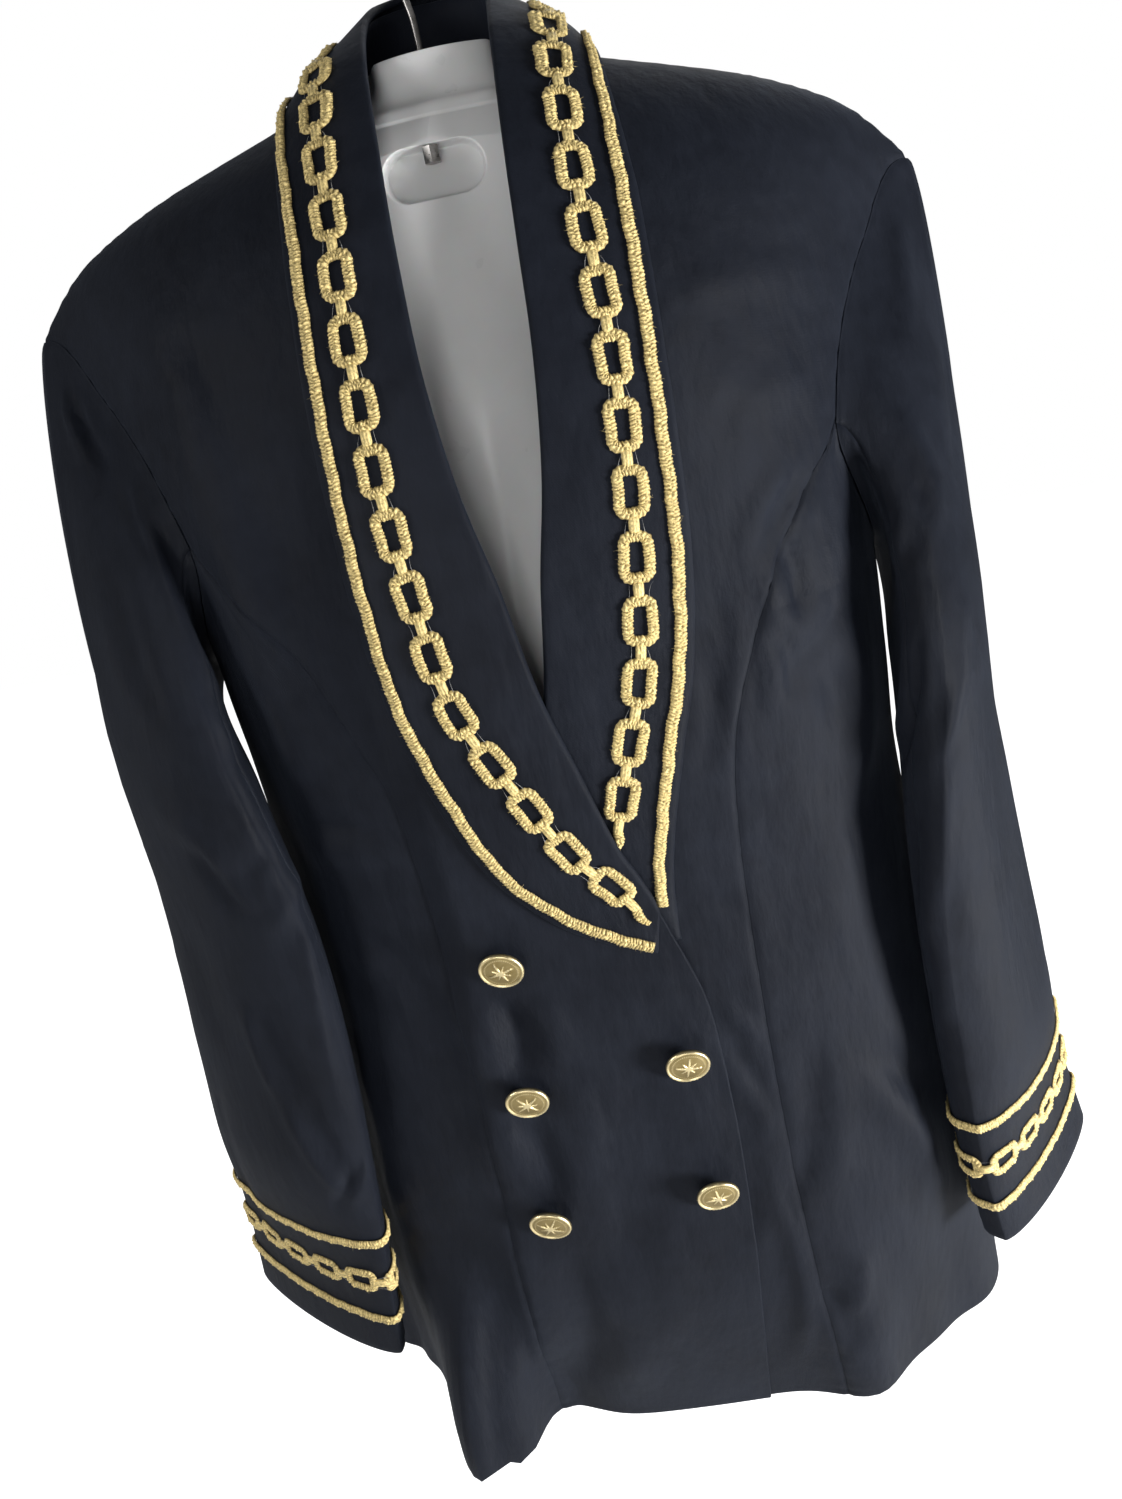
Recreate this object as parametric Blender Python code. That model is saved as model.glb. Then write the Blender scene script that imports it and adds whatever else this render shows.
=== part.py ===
"""A double-breasted shawl-collar blazer hanging on a smooth torso form with a wire hook.

Metres, +Z up, the front faces -Y. The origin is where a rail bears on the inside of the hook.
Heights in the tables are measured from the neck level, NECK_DROP under the origin.

The cloth body is one loft with two coordinates. The crosswise one is an angle, 0 at the centre and
90 degrees at the side seam. The lengthwise one, g, follows a thread of the cloth: below 0 it runs
down the front, 0 is the chest line, 1 the shoulder seam, 2 the chest line of the back. Every panel
is a patch of that loft, and whatever lies on a panel is made from its points, moved out. Distances
across are measured from the garment's own centre line, which sways a little to one side.
"""

import math

import bmesh
import bpy
import numpy as np

# Driving dimensions
NECK_DROP = 0.120          # hook seat to the level that heights are measured from
WALL = 0.0015              # body and sleeve cloth with its interlining
COLLAR_WALL = 0.0018
SEAM_GAP = 0.0003
LAYER_GAP = 0.0004
COLLAR_GAP = 0.0011        # more, because the collar's facets span the front's
HEM_Z = -0.719
CHEST_Z = -0.240           # underarm level
SQUARENESS = 2.4           # exponent of the body sections, 2 is an ellipse
SHOULDER_HALF = 0.229      # half width of the shoulder row, to the seam's end if it ran on
SHOULDER_SEAM_Y = 0.004
NECK_X = 0.060             # half width of the neck at the shoulder seams
SEAM_UPRIGHT = 0.04        # rows on which the cloth's cut edge turns upright at the shoulder seam
NECK_SCOOP = 0.32          # rows that the back neck lies behind the shoulder seam
CHAIN_PITCH = 0.0278
LINK_LENGTH, LINK_WIDTH, LINK_BAND = 0.0238, 0.0170, 0.0054
LINK_RISE = 0.0019
LINK_BAR = 0.0025          # half width of the bar between two links
CHAIN_OFF, BRAID_OFF = 0.0013, 0.0011    # backs of the applique to the collar's points
CUFF_OFF = 0.0025          # and to the cuff's
BRAID_WIDTH, BRAID_RISE = 0.0062, 0.0020
BUTTON_RADIUS = 0.0115
WIRE_RADIUS = 0.0016

# Body sections under the chest line: height, half width, depth in front, depth behind
BODY_SECTIONS = np.array([
    (-0.725, 0.207, 0.092, 0.104),
    (-0.620, 0.202, 0.112, 0.112),
    (-0.500, 0.191, 0.117, 0.108),
    (-0.370, 0.181, 0.113, 0.096),
    (-0.300, 0.178, 0.119, 0.098),
    (-0.240, 0.178, 0.118, 0.103),
])
# Shoulder seam: distance from the centre, height
SHOULDER = np.array([
    (0.000, 0.0280), (0.058, 0.0215), (0.071, 0.0175), (0.095, 0.0110), (0.116, 0.0050), (0.140, -0.0020),
    (0.158, -0.0085), (0.180, -0.0180), (0.198, -0.0285), (0.215, -0.0440), (0.229, -0.0610),
])
# Sway of the centre line to the viewer's right: height, distance
SWAY = np.array([
    (-0.725, 0.010), (-0.620, 0.008), (-0.500, 0.007), (-0.350, 0.006), (-0.100, 0.006), (0.100, 0.006),
])

# Loose folds of the body: angle across, half angle, height where it starts, rise at the hem
FOLDS = (
    (-72.0, 12.0, -0.340, -0.014),
    (-52.0, 10.0, -0.340, -0.011),
    (-35.0, 7.0, -0.540, 0.040),
    (-22.0, 6.0, -0.560, -0.010),
    (25.0, 8.0, -0.560, 0.017),
    (52.0, 10.0, -0.500, -0.006),
)
BACK_FOLDS = (
    (-45.0, 10.0, -0.460, 0.012),
    (-18.0, 9.0, -0.500, -0.006),
    (12.0, 10.0, -0.480, 0.010),
    (50.0, 10.0, -0.500, 0.011),
)

# Where a sleeve rests on the body's side: angle across, half angle, heights, depth of the dent
DENTS = (
    (-62.0, 20.0, -0.270, -0.340, 0.011),
    (66.0, 20.0, -0.400, -0.520, 0.003),
)

# Rows of the loft: the hem up to the chest, then up to the shoulder seam
BODY_ROWS = 11
YOKE_ROWS = (0.05, 0.11, 0.19, 0.20, 0.28, 0.37, 0.49, 0.61, 0.74, 0.87, 1.0)
TIP_ROW, CORNER_ROW = 0.19, 0.20     # where the side front ends and the centre front meets the armhole
# Angle of the armhole at each yoke row, chest line first
ARMHOLE = (90.0, 77.0, 67.0, 58.0, 57.5, 58.5, 61.5, 67.0, 72.5, 74.5, 75.5, 77.0)
CENTRE_COLUMNS, SIDE_COLUMNS, BACK_COLUMNS = 9, 8, 24
BACK_SPACING = 1.4         # exponent that draws the back's columns towards the neck

# Princess seam: height, distance from the centre
PRINCESS = np.array([
    (-0.725, 0.0860), (-0.600, 0.0810), (-0.480, 0.0775), (-0.370, 0.0785), (-0.318, 0.0812), (-0.288, 0.0868),
    (-0.255, 0.0990), (-0.230, 0.1100), (-0.205, 0.1280), (-0.190, 0.1400), (-0.172, 0.1560),
])
PRINCESS_RISE = 0.215      # chest line to the shoulder seam above the princess seam's end

# Inner edge of the right front: the straight front edge, then the roll line of the collar
FRONT_EDGE = np.array([
    (-0.725, 0.0420), (-0.650, 0.0470), (-0.580, 0.0515), (-0.510, 0.0540), (-0.460, 0.0535), (-0.428, 0.0490),
    (-0.398, 0.0405), (-0.372, 0.0320), (-0.346, 0.0228), (-0.318, 0.0140), (-0.285, 0.0055), (-0.250, -0.0035),
    (-0.205, -0.0112), (-0.160, -0.0205), (-0.110, -0.0262), (-0.060, -0.0280), (-0.030, -0.0320),
    (-0.008, -0.0400), (0.0215, -0.0600),
])

# Collar on the front, from its lower end up: roll line x and z, outer edge x and z
COLLAR_FRONT = np.array([
    (0.0480, -0.4240, 0.0310, -0.4040),
    (0.0400, -0.3960, 0.0050, -0.3890),
    (0.0300, -0.3660, -0.0245, -0.3640),
    (0.0180, -0.3340, -0.0420, -0.3420),
    (0.0080, -0.2950, -0.0585, -0.2960),
    (-0.0030, -0.2540, -0.0715, -0.2530),
    (-0.0112, -0.2050, -0.0778, -0.2060),
    (-0.0205, -0.1600, -0.0782, -0.1600),
    (-0.0262, -0.1100, -0.0785, -0.1070),
    (-0.0280, -0.0600, -0.0800, -0.0520),
])
# Outer edge of the left half at its lowest stations, where it runs down behind the right half
LEFT_EDGE = np.array([(-0.0375, -0.3980), (-0.0385, -0.3900), (-0.0415, -0.3680), (-0.0465, -0.3400)])
COLLAR_ROWS, COLLAR_COLUMNS = 20, 5
LEFT_COLLAR_START = 4      # rows of the left collar that the right front hides

# Collar round the neck: roll line x, y, z, outer edge x and g on the loft, outward bulge
COLLAR_NECK = (
    (-0.0290, -0.0660, -0.0150, 0.0845, 0.80, 0.005),
    (-0.0310, -0.0300, 0.0300, 0.0855, 0.98, 0.009),
    (-0.0310, 0.0150, 0.0580, 0.0790, 1.15, 0.011),
    (-0.0220, 0.0430, 0.0690, 0.0500, 1.32, 0.012),
    (0.0000, 0.0530, 0.0720, 0.0000, 1.38, 0.012),
)
NECK_ROWS = 12
EDGE_LIFT = 0.0050         # outer edge of the collar off the shoulders
# Seam of the collar stand: distance from the centre, row g on the loft
STAND_SEAM = ((0.0360, 0.80), (0.0460, 0.91), (0.0535, 1.03), (0.0465, 1.145), (0.0310, 1.235),
              (0.0000, 1.300))
STAND_DEPTH = 0.0020       # the stand's lower edge inside the neck seam
STAND_OFF = 0.0006         # the stand's outside to the collar's underside
STAND_FALL = 0.06          # the stand's top under the roll line, as a share of its height
# Applique along the collar
CHAIN_SHARE = 0.56         # chain line, as a share of the collar's width from the roll line
CHAIN_START = {"right": 0.032, "left": 0.049}    # free length under the lowest link
BRAID_START = {"right": 1.3, "left": 0.3}        # row of the collar where the braid begins
BRAID_INSET = 0.0070       # braid line to the collar's outer edge

# Sleeve sections: height, centre x and y, half length fore and aft, half thickness, turn inwards
SLEEVE_RIGHT = np.array([
    (-0.290, -0.2010, -0.0420, 0.0790, 0.0285, 38.0),
    (-0.370, -0.1990, -0.0480, 0.0760, 0.0265, 46.0),
    (-0.450, -0.1995, -0.0520, 0.0740, 0.0255, 50.0),
    (-0.560, -0.2065, -0.0480, 0.0710, 0.0265, 48.0),
    (-0.641, -0.2150, -0.0430, 0.0700, 0.0290, 46.0),
])
SLEEVE_LEFT = np.array([
    (-0.290, 0.2125, -0.0250, 0.0780, 0.0275, 4.0),
    (-0.370, 0.2150, -0.0290, 0.0750, 0.0280, 6.0),
    (-0.450, 0.2200, -0.0310, 0.0730, 0.0280, 8.0),
    (-0.560, 0.2335, -0.0310, 0.0670, 0.0260, 14.0),
    (-0.625, 0.2405, -0.0300, 0.0650, 0.0275, 18.0),
])
CAP_STEPS = (0.0, 0.10, 0.24, 0.42, 0.66, 1.0)
SLEEVE_ROWS = 7
HEAD_FALL = 0.7            # how steeply the sleeve head drops from the shoulder's end
UNDER_SLEEVE = 4           # columns each side of the underarm that the under sleeve takes
# Trims of a cuff: height of each above the sleeve's hem
CUFF_BRAID_LOW, CUFF_CHAIN, CUFF_BRAID_HIGH = 0.0270, 0.0560, 0.0850
CUFF_LINKS = 11

# Torso form: height, half width, largest depth in front and behind. Above FORM_FOLLOWS it keeps
# inside the cloth, and along the shoulders its width is where the cloth leaves it room
FORM_SECTIONS = (
    (-0.560, 0.146, 0.086, 0.080),
    (-0.500, 0.148, 0.090, 0.084),
    (-0.430, 0.136, 0.084, 0.074),
    (-0.370, 0.126, 0.082, 0.070),
    (-0.310, 0.136, 0.094, 0.074),
    (-0.250, 0.148, 0.098, 0.080),
    (-0.190, 0.144, 0.090, 0.078),
    (-0.140, 0.142, 0.080, 0.072),
    (-0.095, 0.148, 0.070, 0.064),
    (-0.060, 0.156, 0.064, 0.056),
    (-0.036, 0.158, 0.058, 0.050),
    (-0.019, 0.152, 0.053, 0.045),
    (-0.0105, 0.143, 0.050, 0.041),
    (-0.0035, 0.127, 0.047, 0.038),
    (0.0015, 0.108, 0.043, 0.033),
    (0.0055, 0.090, 0.038, 0.030),
    (0.0085, 0.066, 0.031, 0.027),
    (0.0125, 0.049, 0.028, 0.026),
    (0.0190, 0.041, 0.026, 0.025),
    (0.0270, 0.038, 0.025, 0.025),
)
FORM_SIDES = 24
FORM_FOLLOWS = -0.085
FORM_ROOM = 0.0021         # cloth's outside to the form, across the shoulders
RECESS_LENGTH, RECESS_HEIGHT, RECESS_DEPTH = 0.046, 0.022, 0.009
RECESS_Z = -0.025

# Buttons: distance from the centre, height
BUTTONS = ((-0.0466, -0.3886), (-0.0508, -0.4664), (-0.0537, -0.5451), (0.0334, -0.4586), (0.0357, -0.5402))
BUTTON_DROOP = 18.0
BUTTON_STEPS = 14

COLOURS = {
    "black_cloth": ((0.013, 0.015, 0.020), 0.75, 0.0),
    "gold_braid": ((0.62, 0.43, 0.14), 0.45, 0.6),
    "antique_gold": ((0.60, 0.48, 0.24), 0.35, 1.0),
    "white_plastic": ((0.82, 0.82, 0.80), 0.35, 0.0),
    "steel_wire": ((0.42, 0.40, 0.38), 0.3, 1.0),
}


def material(name):
    """The shared Principled material of that finish."""
    made = bpy.data.materials.get(name)
    if made:
        return made
    colour, roughness, metallic = COLOURS[name]
    made = bpy.data.materials.new(name)
    made.use_nodes = True
    shader = made.node_tree.nodes["Principled BSDF"]
    shader.inputs["Base Color"].default_value = (*colour, 1.0)
    shader.inputs["Roughness"].default_value = roughness
    shader.inputs["Metallic"].default_value = metallic
    made.diffuse_color = (*colour, 1.0)
    return made


def add_object(name, points, faces, finish):
    """A mesh object of triangles or quads, turned to face outwards, lowered to hang under the hook."""
    points = np.asarray(points, float).reshape(-1, 3)
    volume = 0.0
    for face in faces:
        for i in range(1, len(face) - 1):
            a, b, c = points[face[0]], points[face[i]], points[face[i + 1]]
            volume += np.dot(a, np.cross(b, c))
    if volume < 0:
        faces = [tuple(reversed(face)) for face in faces]
    mesh = bpy.data.meshes.new(name)
    mesh.from_pydata((points - (0.0, 0.0, NECK_DROP)).tolist(), [], faces)
    mesh.shade_smooth()
    mesh.set_sharp_from_angle(angle=math.radians(40))
    made = bpy.data.objects.new(name, mesh)
    bpy.context.collection.objects.link(made)
    made.data.materials.append(material(finish))
    return made


def smooth_step(value, start, end):
    t = np.clip((value - start) / (end - start), 0.0, 1.0)
    return t * t * (3.0 - 2.0 * t)


def smooth_table(table, at):
    """The table's columns at positions along it, on a Catmull-Rom curve through its rows."""
    table = np.asarray(table, float)
    padded = np.concatenate([2 * table[:1] - table[1:2], table, 2 * table[-1:] - table[-2:-1]])
    at = np.clip(np.asarray(at, float), 0.0, len(table) - 1.0)
    first = np.minimum(at.astype(int), len(table) - 2)
    t = (at - first).reshape(at.shape + (1,) * (table.ndim - 1))
    p0, p1, p2, p3 = (padded[first + k] for k in range(4))
    return 0.5 * (2 * p1 + (p2 - p0) * t + (2 * p0 - 5 * p1 + 4 * p2 - p3) * t**2 + (3 * p1 - p0 - 3 * p2 + p3) * t**3)


def looked_up(table, value):
    """The table's other columns at values of its first one, smooth between its rows."""
    place = np.interp(np.asarray(value, float), table[:, 0], np.arange(len(table)))
    return smooth_table(table[:, 1:], place)


def shoulder_z(x):
    """Height of the shoulder seam at a distance x from the centre."""
    return looked_up(SHOULDER, np.abs(x))[..., 0]


def sway(z):
    """How far the centre line lies to the viewer's right at height z."""
    return looked_up(SWAY, z)[..., 0]


def half_width(g):
    """Half width of the yoke's row g, from the chest to the shoulder seam."""
    chest = BODY_SECTIONS[-1, 1]
    return chest + (SHOULDER_HALF - chest) * np.clip(g, 0.0, 1.0) ** 1.5


def fold_rise(angle, z, back):
    """How far the loose folds push the cloth out, in metres."""
    rise = np.zeros(np.broadcast(angle, z).shape)
    for centre, spread, top, height in BACK_FOLDS if back else FOLDS:
        rise = rise + height * np.exp(-(((angle - centre) / spread) ** 2)) * smooth_step(-z, -top, -HEM_Z)
    for centre, spread, top, full, depth in () if back else DENTS:
        rise = rise - depth * np.exp(-(((angle - centre) / spread) ** 2)) * smooth_step(-z, -top, -full)
    return rise


def across_share(angle):
    """Share of the half width that an angle reaches."""
    return np.sin(np.radians(np.abs(angle))) ** (2 / SQUARENESS)


def loft(angle, g):
    """Points of the cloth body's outside. Angle is signed, negative on the viewer's left."""
    angle, g = np.broadcast_arrays(np.asarray(angle, float), np.asarray(g, float))
    back = g > 1.0
    up = np.where(back, 2.0 - g, g)
    turn = np.radians(np.abs(angle))
    across = across_share(angle)
    deep = np.clip(np.cos(turn), 0.0, 1.0) ** (2 / SQUARENESS)
    z_low = CHEST_Z + np.minimum(up, 0.0) * abs(CHEST_Z)
    width, front, behind = np.moveaxis(looked_up(BODY_SECTIONS, z_low), -1, 0)
    depth = np.where(back, behind, -front) * deep
    rise = np.radians(90.0 * np.clip(up, 0.0, 1.0))
    x = np.where(up > 0, half_width(up), width) * across
    top = shoulder_z(SHOULDER_HALF * across)
    seam_y = SHOULDER_SEAM_Y
    y = np.where(up > 0, seam_y + (depth - seam_y) * np.cos(rise), depth)
    z = np.where(up > 0, CHEST_Z + (top - CHEST_Z) * np.sin(rise), z_low)
    push = np.where(back, fold_rise(angle, z, True), fold_rise(angle, z, False))
    outward = np.sqrt((across / width) ** 2 + (deep / np.maximum(np.abs(front), 0.01)) ** 2)
    x = x + push * (across / width) / outward
    y = y + push * np.where(back, 1, -1) * (deep / np.maximum(np.abs(front), 0.01)) / outward
    # The shoulders stay level on the form while the middle sways
    aside = sway(z) * (1.0 - smooth_step(z, -0.26, -0.10) * across**2)
    return np.stack([np.sign(angle) * x + aside, y, z], axis=-1)


def angle_of(x, g):
    """Signed angle of the loft at a signed distance x from the centre, on row g."""
    x, g = np.broadcast_arrays(np.asarray(x, float), np.asarray(g, float))
    up = np.where(g > 1.0, 2.0 - g, g)
    z_low = CHEST_Z + np.minimum(up, 0.0) * abs(CHEST_Z)
    width = np.where(up > 0, half_width(up), looked_up(BODY_SECTIONS, z_low)[..., 0])
    share = np.clip(np.abs(x) / width, 0.0, 1.0)
    return np.sign(x) * np.degrees(np.arcsin(share ** (SQUARENESS / 2)))


def row_of(x, z):
    """Row g of the front loft whose height is z, at a signed distance x from the centre."""
    x, z = np.broadcast_arrays(np.asarray(x, float), np.asarray(z, float))
    low = (z - CHEST_Z) / abs(CHEST_Z)
    g = np.full(x.shape, 0.5)
    for _ in range(12):
        reach = SHOULDER_HALF * np.abs(x) / half_width(g)
        share = np.clip((z - CHEST_Z) / (shoulder_z(reach) - CHEST_Z), 0.0, 1.0)
        g = np.degrees(np.arcsin(share)) / 90.0
    return np.where(z > CHEST_Z, g, low)


def loft_normal(angle, g):
    """Outward normal of the loft, from small steps across and along it."""
    step_angle, step_g = 0.2, 0.002
    angle, g = np.broadcast_arrays(np.asarray(angle, float), np.asarray(g, float))
    inside = np.clip(angle, -89.2, 89.2)
    across = loft(inside + step_angle, g) - loft(inside - step_angle, g)
    # One side of the shoulder seam and of the chest line is enough where the loft turns
    up_g = np.where(g <= 1.0, np.minimum(g + step_g, 1.0), g + step_g)
    down_g = np.where(g > 1.0, np.maximum(g - step_g, 1.0 + 1e-6), g - step_g)
    along = loft(inside, up_g) - loft(inside, down_g)
    normal = np.cross(across, along)
    # At the shoulder seam the cut edges of front and back stand parallel
    normal[..., 1] *= np.clip(np.abs(g - 1.0) / SEAM_UPRIGHT, 0.0, 1.0)
    return normal / np.linalg.norm(normal, axis=-1, keepdims=True)


def lifted(angle, g, lift):
    """Points of the loft moved out along its normal."""
    return loft(angle, g) + loft_normal(angle, g) * np.asarray(lift, float)[..., None]


def wall_faces(rows, columns, closed=False):
    """Triangles of a wall: an outer grid, then an inner one, joined round their borders."""
    wrap = columns if closed else columns - 1
    inner = rows * columns
    faces = []
    for r in range(rows - 1):
        for c in range(wrap):
            a, b = r * columns + c, r * columns + (c + 1) % columns
            d, e = a + columns, b + columns
            faces += [(a, b, e), (a, e, d), (inner + a, inner + e, inner + b), (inner + a, inner + d, inner + e)]
    for r, flip in ((0, False), (rows - 1, True)):
        for c in range(wrap):
            a, b = r * columns + c, r * columns + (c + 1) % columns
            quad = (b, a, inner + a, inner + b)
            quad = quad[::-1] if flip else quad
            faces += [quad[:3], (quad[0], quad[2], quad[3])]
    if not closed:
        for c, flip in ((0, True), (columns - 1, False)):
            for r in range(rows - 1):
                a, b = r * columns + c, (r + 1) * columns + c
                quad = (b, a, inner + a, inner + b)
                quad = quad[::-1] if flip else quad
                faces += [quad[:3], (quad[0], quad[2], quad[3])]
    return faces


def add_wall(name, outer, inner, finish="black_cloth", closed=False):
    """A sheet of cloth between two grids of points."""
    rows, columns = outer.shape[:2]
    points = np.concatenate([outer.reshape(-1, 3), inner.reshape(-1, 3)])
    return add_object(name, points, wall_faces(rows, columns, closed), finish)


def body_rows():
    """Rows g of a panel, hem first."""
    hem = (HEM_Z - CHEST_Z) / abs(CHEST_Z)
    return np.concatenate([np.linspace(hem, 0.0, BODY_ROWS + 1), YOKE_ROWS])


def armhole_angle(g):
    """Angle of the armhole on row g, or of the side seam under the chest line."""
    rows = (0.0, *YOKE_ROWS)
    up = np.where(np.asarray(g) > 1.0, 2.0 - np.asarray(g), g)
    return np.interp(up, rows, ARMHOLE, left=90.0)


def seam_angle(g):
    """Angle of the princess seam on row g."""
    z = CHEST_Z + np.where(g < 0, g * abs(CHEST_Z), PRINCESS_RISE * np.sin(np.radians(90 * np.clip(g, 0, 1))))
    return angle_of(looked_up(PRINCESS, z)[..., 0], g)


def edge_angle(g):
    """Signed angle of the right front's inner edge on row g."""
    rise = shoulder_z(NECK_X) - CHEST_Z
    z = CHEST_Z + np.where(g < 0, g * abs(CHEST_Z), rise * np.sin(np.radians(90 * np.clip(g, 0, 1))))
    return angle_of(looked_up(FRONT_EDGE, z)[..., 0], g)


def part_at(angle, g, towards):
    """The angle moved by half a seam gap along the row, towards +1 or -1."""
    step = 0.05
    inside = np.clip(angle, -89.9, 89.9)
    rate = np.linalg.norm(loft(inside + step, g) - loft(inside - step, g), axis=-1) / (2 * step)
    return angle + towards * (SEAM_GAP / 2) / rate


def row_gap(angle, way):
    """Rows from the shoulder seam to a cut edge, so that a seam gap parts it from its neighbour."""
    step = 0.004
    run = np.linalg.norm(loft(angle, 1 + way * step) - loft(angle, 1 + way * 1e-6), axis=-1) / step
    return way * SEAM_GAP / run


def lap_lift(x, z):
    """How far the right front stands off the loft, to lie over the left front and its collar."""
    over_lap = LAYER_GAP + WALL
    over_collar = COLLAR_GAP + COLLAR_WALL + COLLAR_GAP + WALL
    crossing = smooth_step(z, -0.465, -0.420) * (1.0 - smooth_step(z, -0.25, -0.20))
    height = over_lap + (over_collar - over_lap) * crossing
    return height * smooth_step(x, -0.085, -0.062)


def front_grid(side, first, last, g, columns):
    """Angles and rows of a front panel between two edges."""
    t = np.linspace(0.0, 1.0, columns + 1)
    angle = first[:, None] + (last - first)[:, None] * t[None, :]
    rows = np.repeat(g[:, None], columns + 1, axis=1)
    return side * angle, rows


def add_front_panels():
    """The four front panels. Side is +1 for the viewer's left, the wearer's right."""
    g = body_rows()
    for name, side in (("right", 1), ("left", -1)):
        at_armhole = g > CORNER_ROW - 1e-6
        outer_edge = np.where(at_armhole, armhole_angle(g), seam_angle(np.minimum(g, TIP_ROW)))
        outer_edge = -part_at(outer_edge, g, -1)
        inner_edge = part_at(edge_angle(g), g, -1)
        angle, rows = front_grid(side, outer_edge, inner_edge, g, CENTRE_COLUMNS)
        rows[-1] += row_gap(angle[-1], -1)
        points = loft(angle, rows)
        x = points[..., 0] - sway(points[..., 2])
        lift = lap_lift(x, points[..., 2]) if side > 0 else np.zeros(angle.shape)
        add_wall(f"front_{name}_centre", lifted(angle, rows, lift), lifted(angle, rows, lift - WALL))

        low = g[g < TIP_ROW + 1e-6]
        side_edge = -part_at(armhole_angle(low), low, -1)
        seam_edge = -part_at(seam_angle(low), low, 1)
        angle, rows = front_grid(side, side_edge, seam_edge, low, SIDE_COLUMNS)
        add_wall(f"front_{name}_side", lifted(angle, rows, np.zeros(angle.shape)),
                 lifted(angle, rows, np.full(angle.shape, -WALL)))


def neck_row(x):
    """Row g of the back's neck seam, behind the shoulder seam near the centre."""
    share = np.clip(1.0 - (np.abs(x) / NECK_X) ** 2, 0.0, 1.0)
    return 1.0 + NECK_SCOOP * np.sqrt(share)


def add_back():
    """The back, one piece between the side seams, the armholes, the shoulder seams and the neck."""
    g = 2.0 - body_rows()
    edge = part_at(armhole_angle(g), g, -1)
    share = np.linspace(-1.0, 1.0, BACK_COLUMNS + 1)
    share = np.sign(share) * np.abs(share) ** BACK_SPACING
    angle = edge[:, None] * share[None, :]
    rows = np.repeat(g[:, None], len(share), axis=1)
    top = neck_row(SHOULDER_HALF * across_share(angle[-1])) + row_gap(angle[-1], 1)
    rows = np.where(rows < 2.0, 2.0 - (2.0 - rows) * (2.0 - top), rows)
    add_wall("back", lifted(angle, rows, np.zeros(angle.shape)), lifted(angle, rows, np.full(angle.shape, -WALL)))


def armhole_ring(side):
    """Points of the armhole from the underarm forward over the shoulder, with the loft's normals."""
    up = np.array((0.0, *YOKE_ROWS))
    g = np.concatenate([up, 2.0 - up[-2:0:-1]])
    angle = -side * armhole_angle(g)
    points = loft(angle, g)
    normal = loft_normal(np.clip(angle, -89.0, 89.0), g)
    ahead = np.roll(points, -1, axis=0) - np.roll(points, 1, axis=0)
    away = np.cross(normal, ahead) * side
    away /= np.linalg.norm(away, axis=-1, keepdims=True)
    return points, normal, away


def sleeve_section(row, side, columns):
    """One ring of a sleeve: column 0 faces the body, a quarter round is the front crease."""
    z, x, y, length, thick, turn = row
    a = 2 * math.pi * np.arange(columns) / columns
    turn = math.radians(turn)
    front = np.array((side * math.sin(turn), -math.cos(turn), 0.0))
    body = np.array((side * math.cos(turn), math.sin(turn), 0.0))
    crease = 0.25 * (1 + np.sin(a)) / 2
    width = np.sign(np.cos(a)) * np.abs(np.cos(a)) ** (1 + crease)
    return np.array((x, y, z)) + front * (length * np.sin(a))[:, None] + body * (thick * width)[:, None]


def sleeve_grid(side):
    """Outer points of a sleeve from the armhole to the hem, and its table of heights."""
    table = SLEEVE_RIGHT if side > 0 else SLEEVE_LEFT
    start, normal, away = armhole_ring(side)
    columns = len(start)
    first = sleeve_section(table[0], side, columns)
    second = sleeve_section(smooth_table(table, np.array([0.15]))[0], side, columns)
    down = (second - first) / np.linalg.norm(second - first, axis=-1, keepdims=True)
    span = np.linalg.norm(first - start, axis=-1, keepdims=True)
    # The under part of the sleeve leaves the armhole outwards, the head runs on from the shoulder
    a = 2 * math.pi * np.arange(columns) / columns
    under = ((1 + np.cos(a)) / 2)[:, None] ** 2
    out, fall = np.array((-side * 1.0, 0.0, 0.0)), np.array((0.0, 0.0, -1.0))
    leave = (away + HEAD_FALL * fall) * (1 - under) + (out + 0.1 * away) * under + normal * 0.20
    leave /= np.linalg.norm(leave, axis=-1, keepdims=True)
    begin = start + leave * 2 * SEAM_GAP
    pull, drop = 0.22 + 0.43 * under, 1.1 - 0.2 * under
    rings = []
    for t in CAP_STEPS[:-1]:
        h00, h10 = 2 * t**3 - 3 * t**2 + 1, t**3 - 2 * t**2 + t
        h01, h11 = -2 * t**3 + 3 * t**2, t**3 - t**2
        rings.append(h00 * begin + h10 * pull * span * leave + h01 * first + h11 * drop * span * down)
    for place in np.linspace(0.0, len(table) - 1.0, SLEEVE_ROWS + 1):
        rings.append(sleeve_section(smooth_table(table, np.array([place]))[0], side, columns))
    return np.array(rings)


def grid_normal(grid, closed):
    """Normals of a grid of points, from its neighbours, wrapped round its columns when closed."""
    along = np.gradient(grid, axis=0)
    if closed:
        across = np.roll(grid, -1, axis=1) - np.roll(grid, 1, axis=1)
    else:
        across = np.gradient(grid, axis=1)
    normal = np.cross(across, along)
    return normal / np.maximum(np.linalg.norm(normal, axis=-1, keepdims=True), 1e-12)


def outward_grid(grid, closed, centre):
    """The normals turned so that they point away from a centre line."""
    normal = grid_normal(grid, closed)
    if np.sum(normal * (grid - centre)) < 0:
        normal = -normal
    return normal


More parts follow.
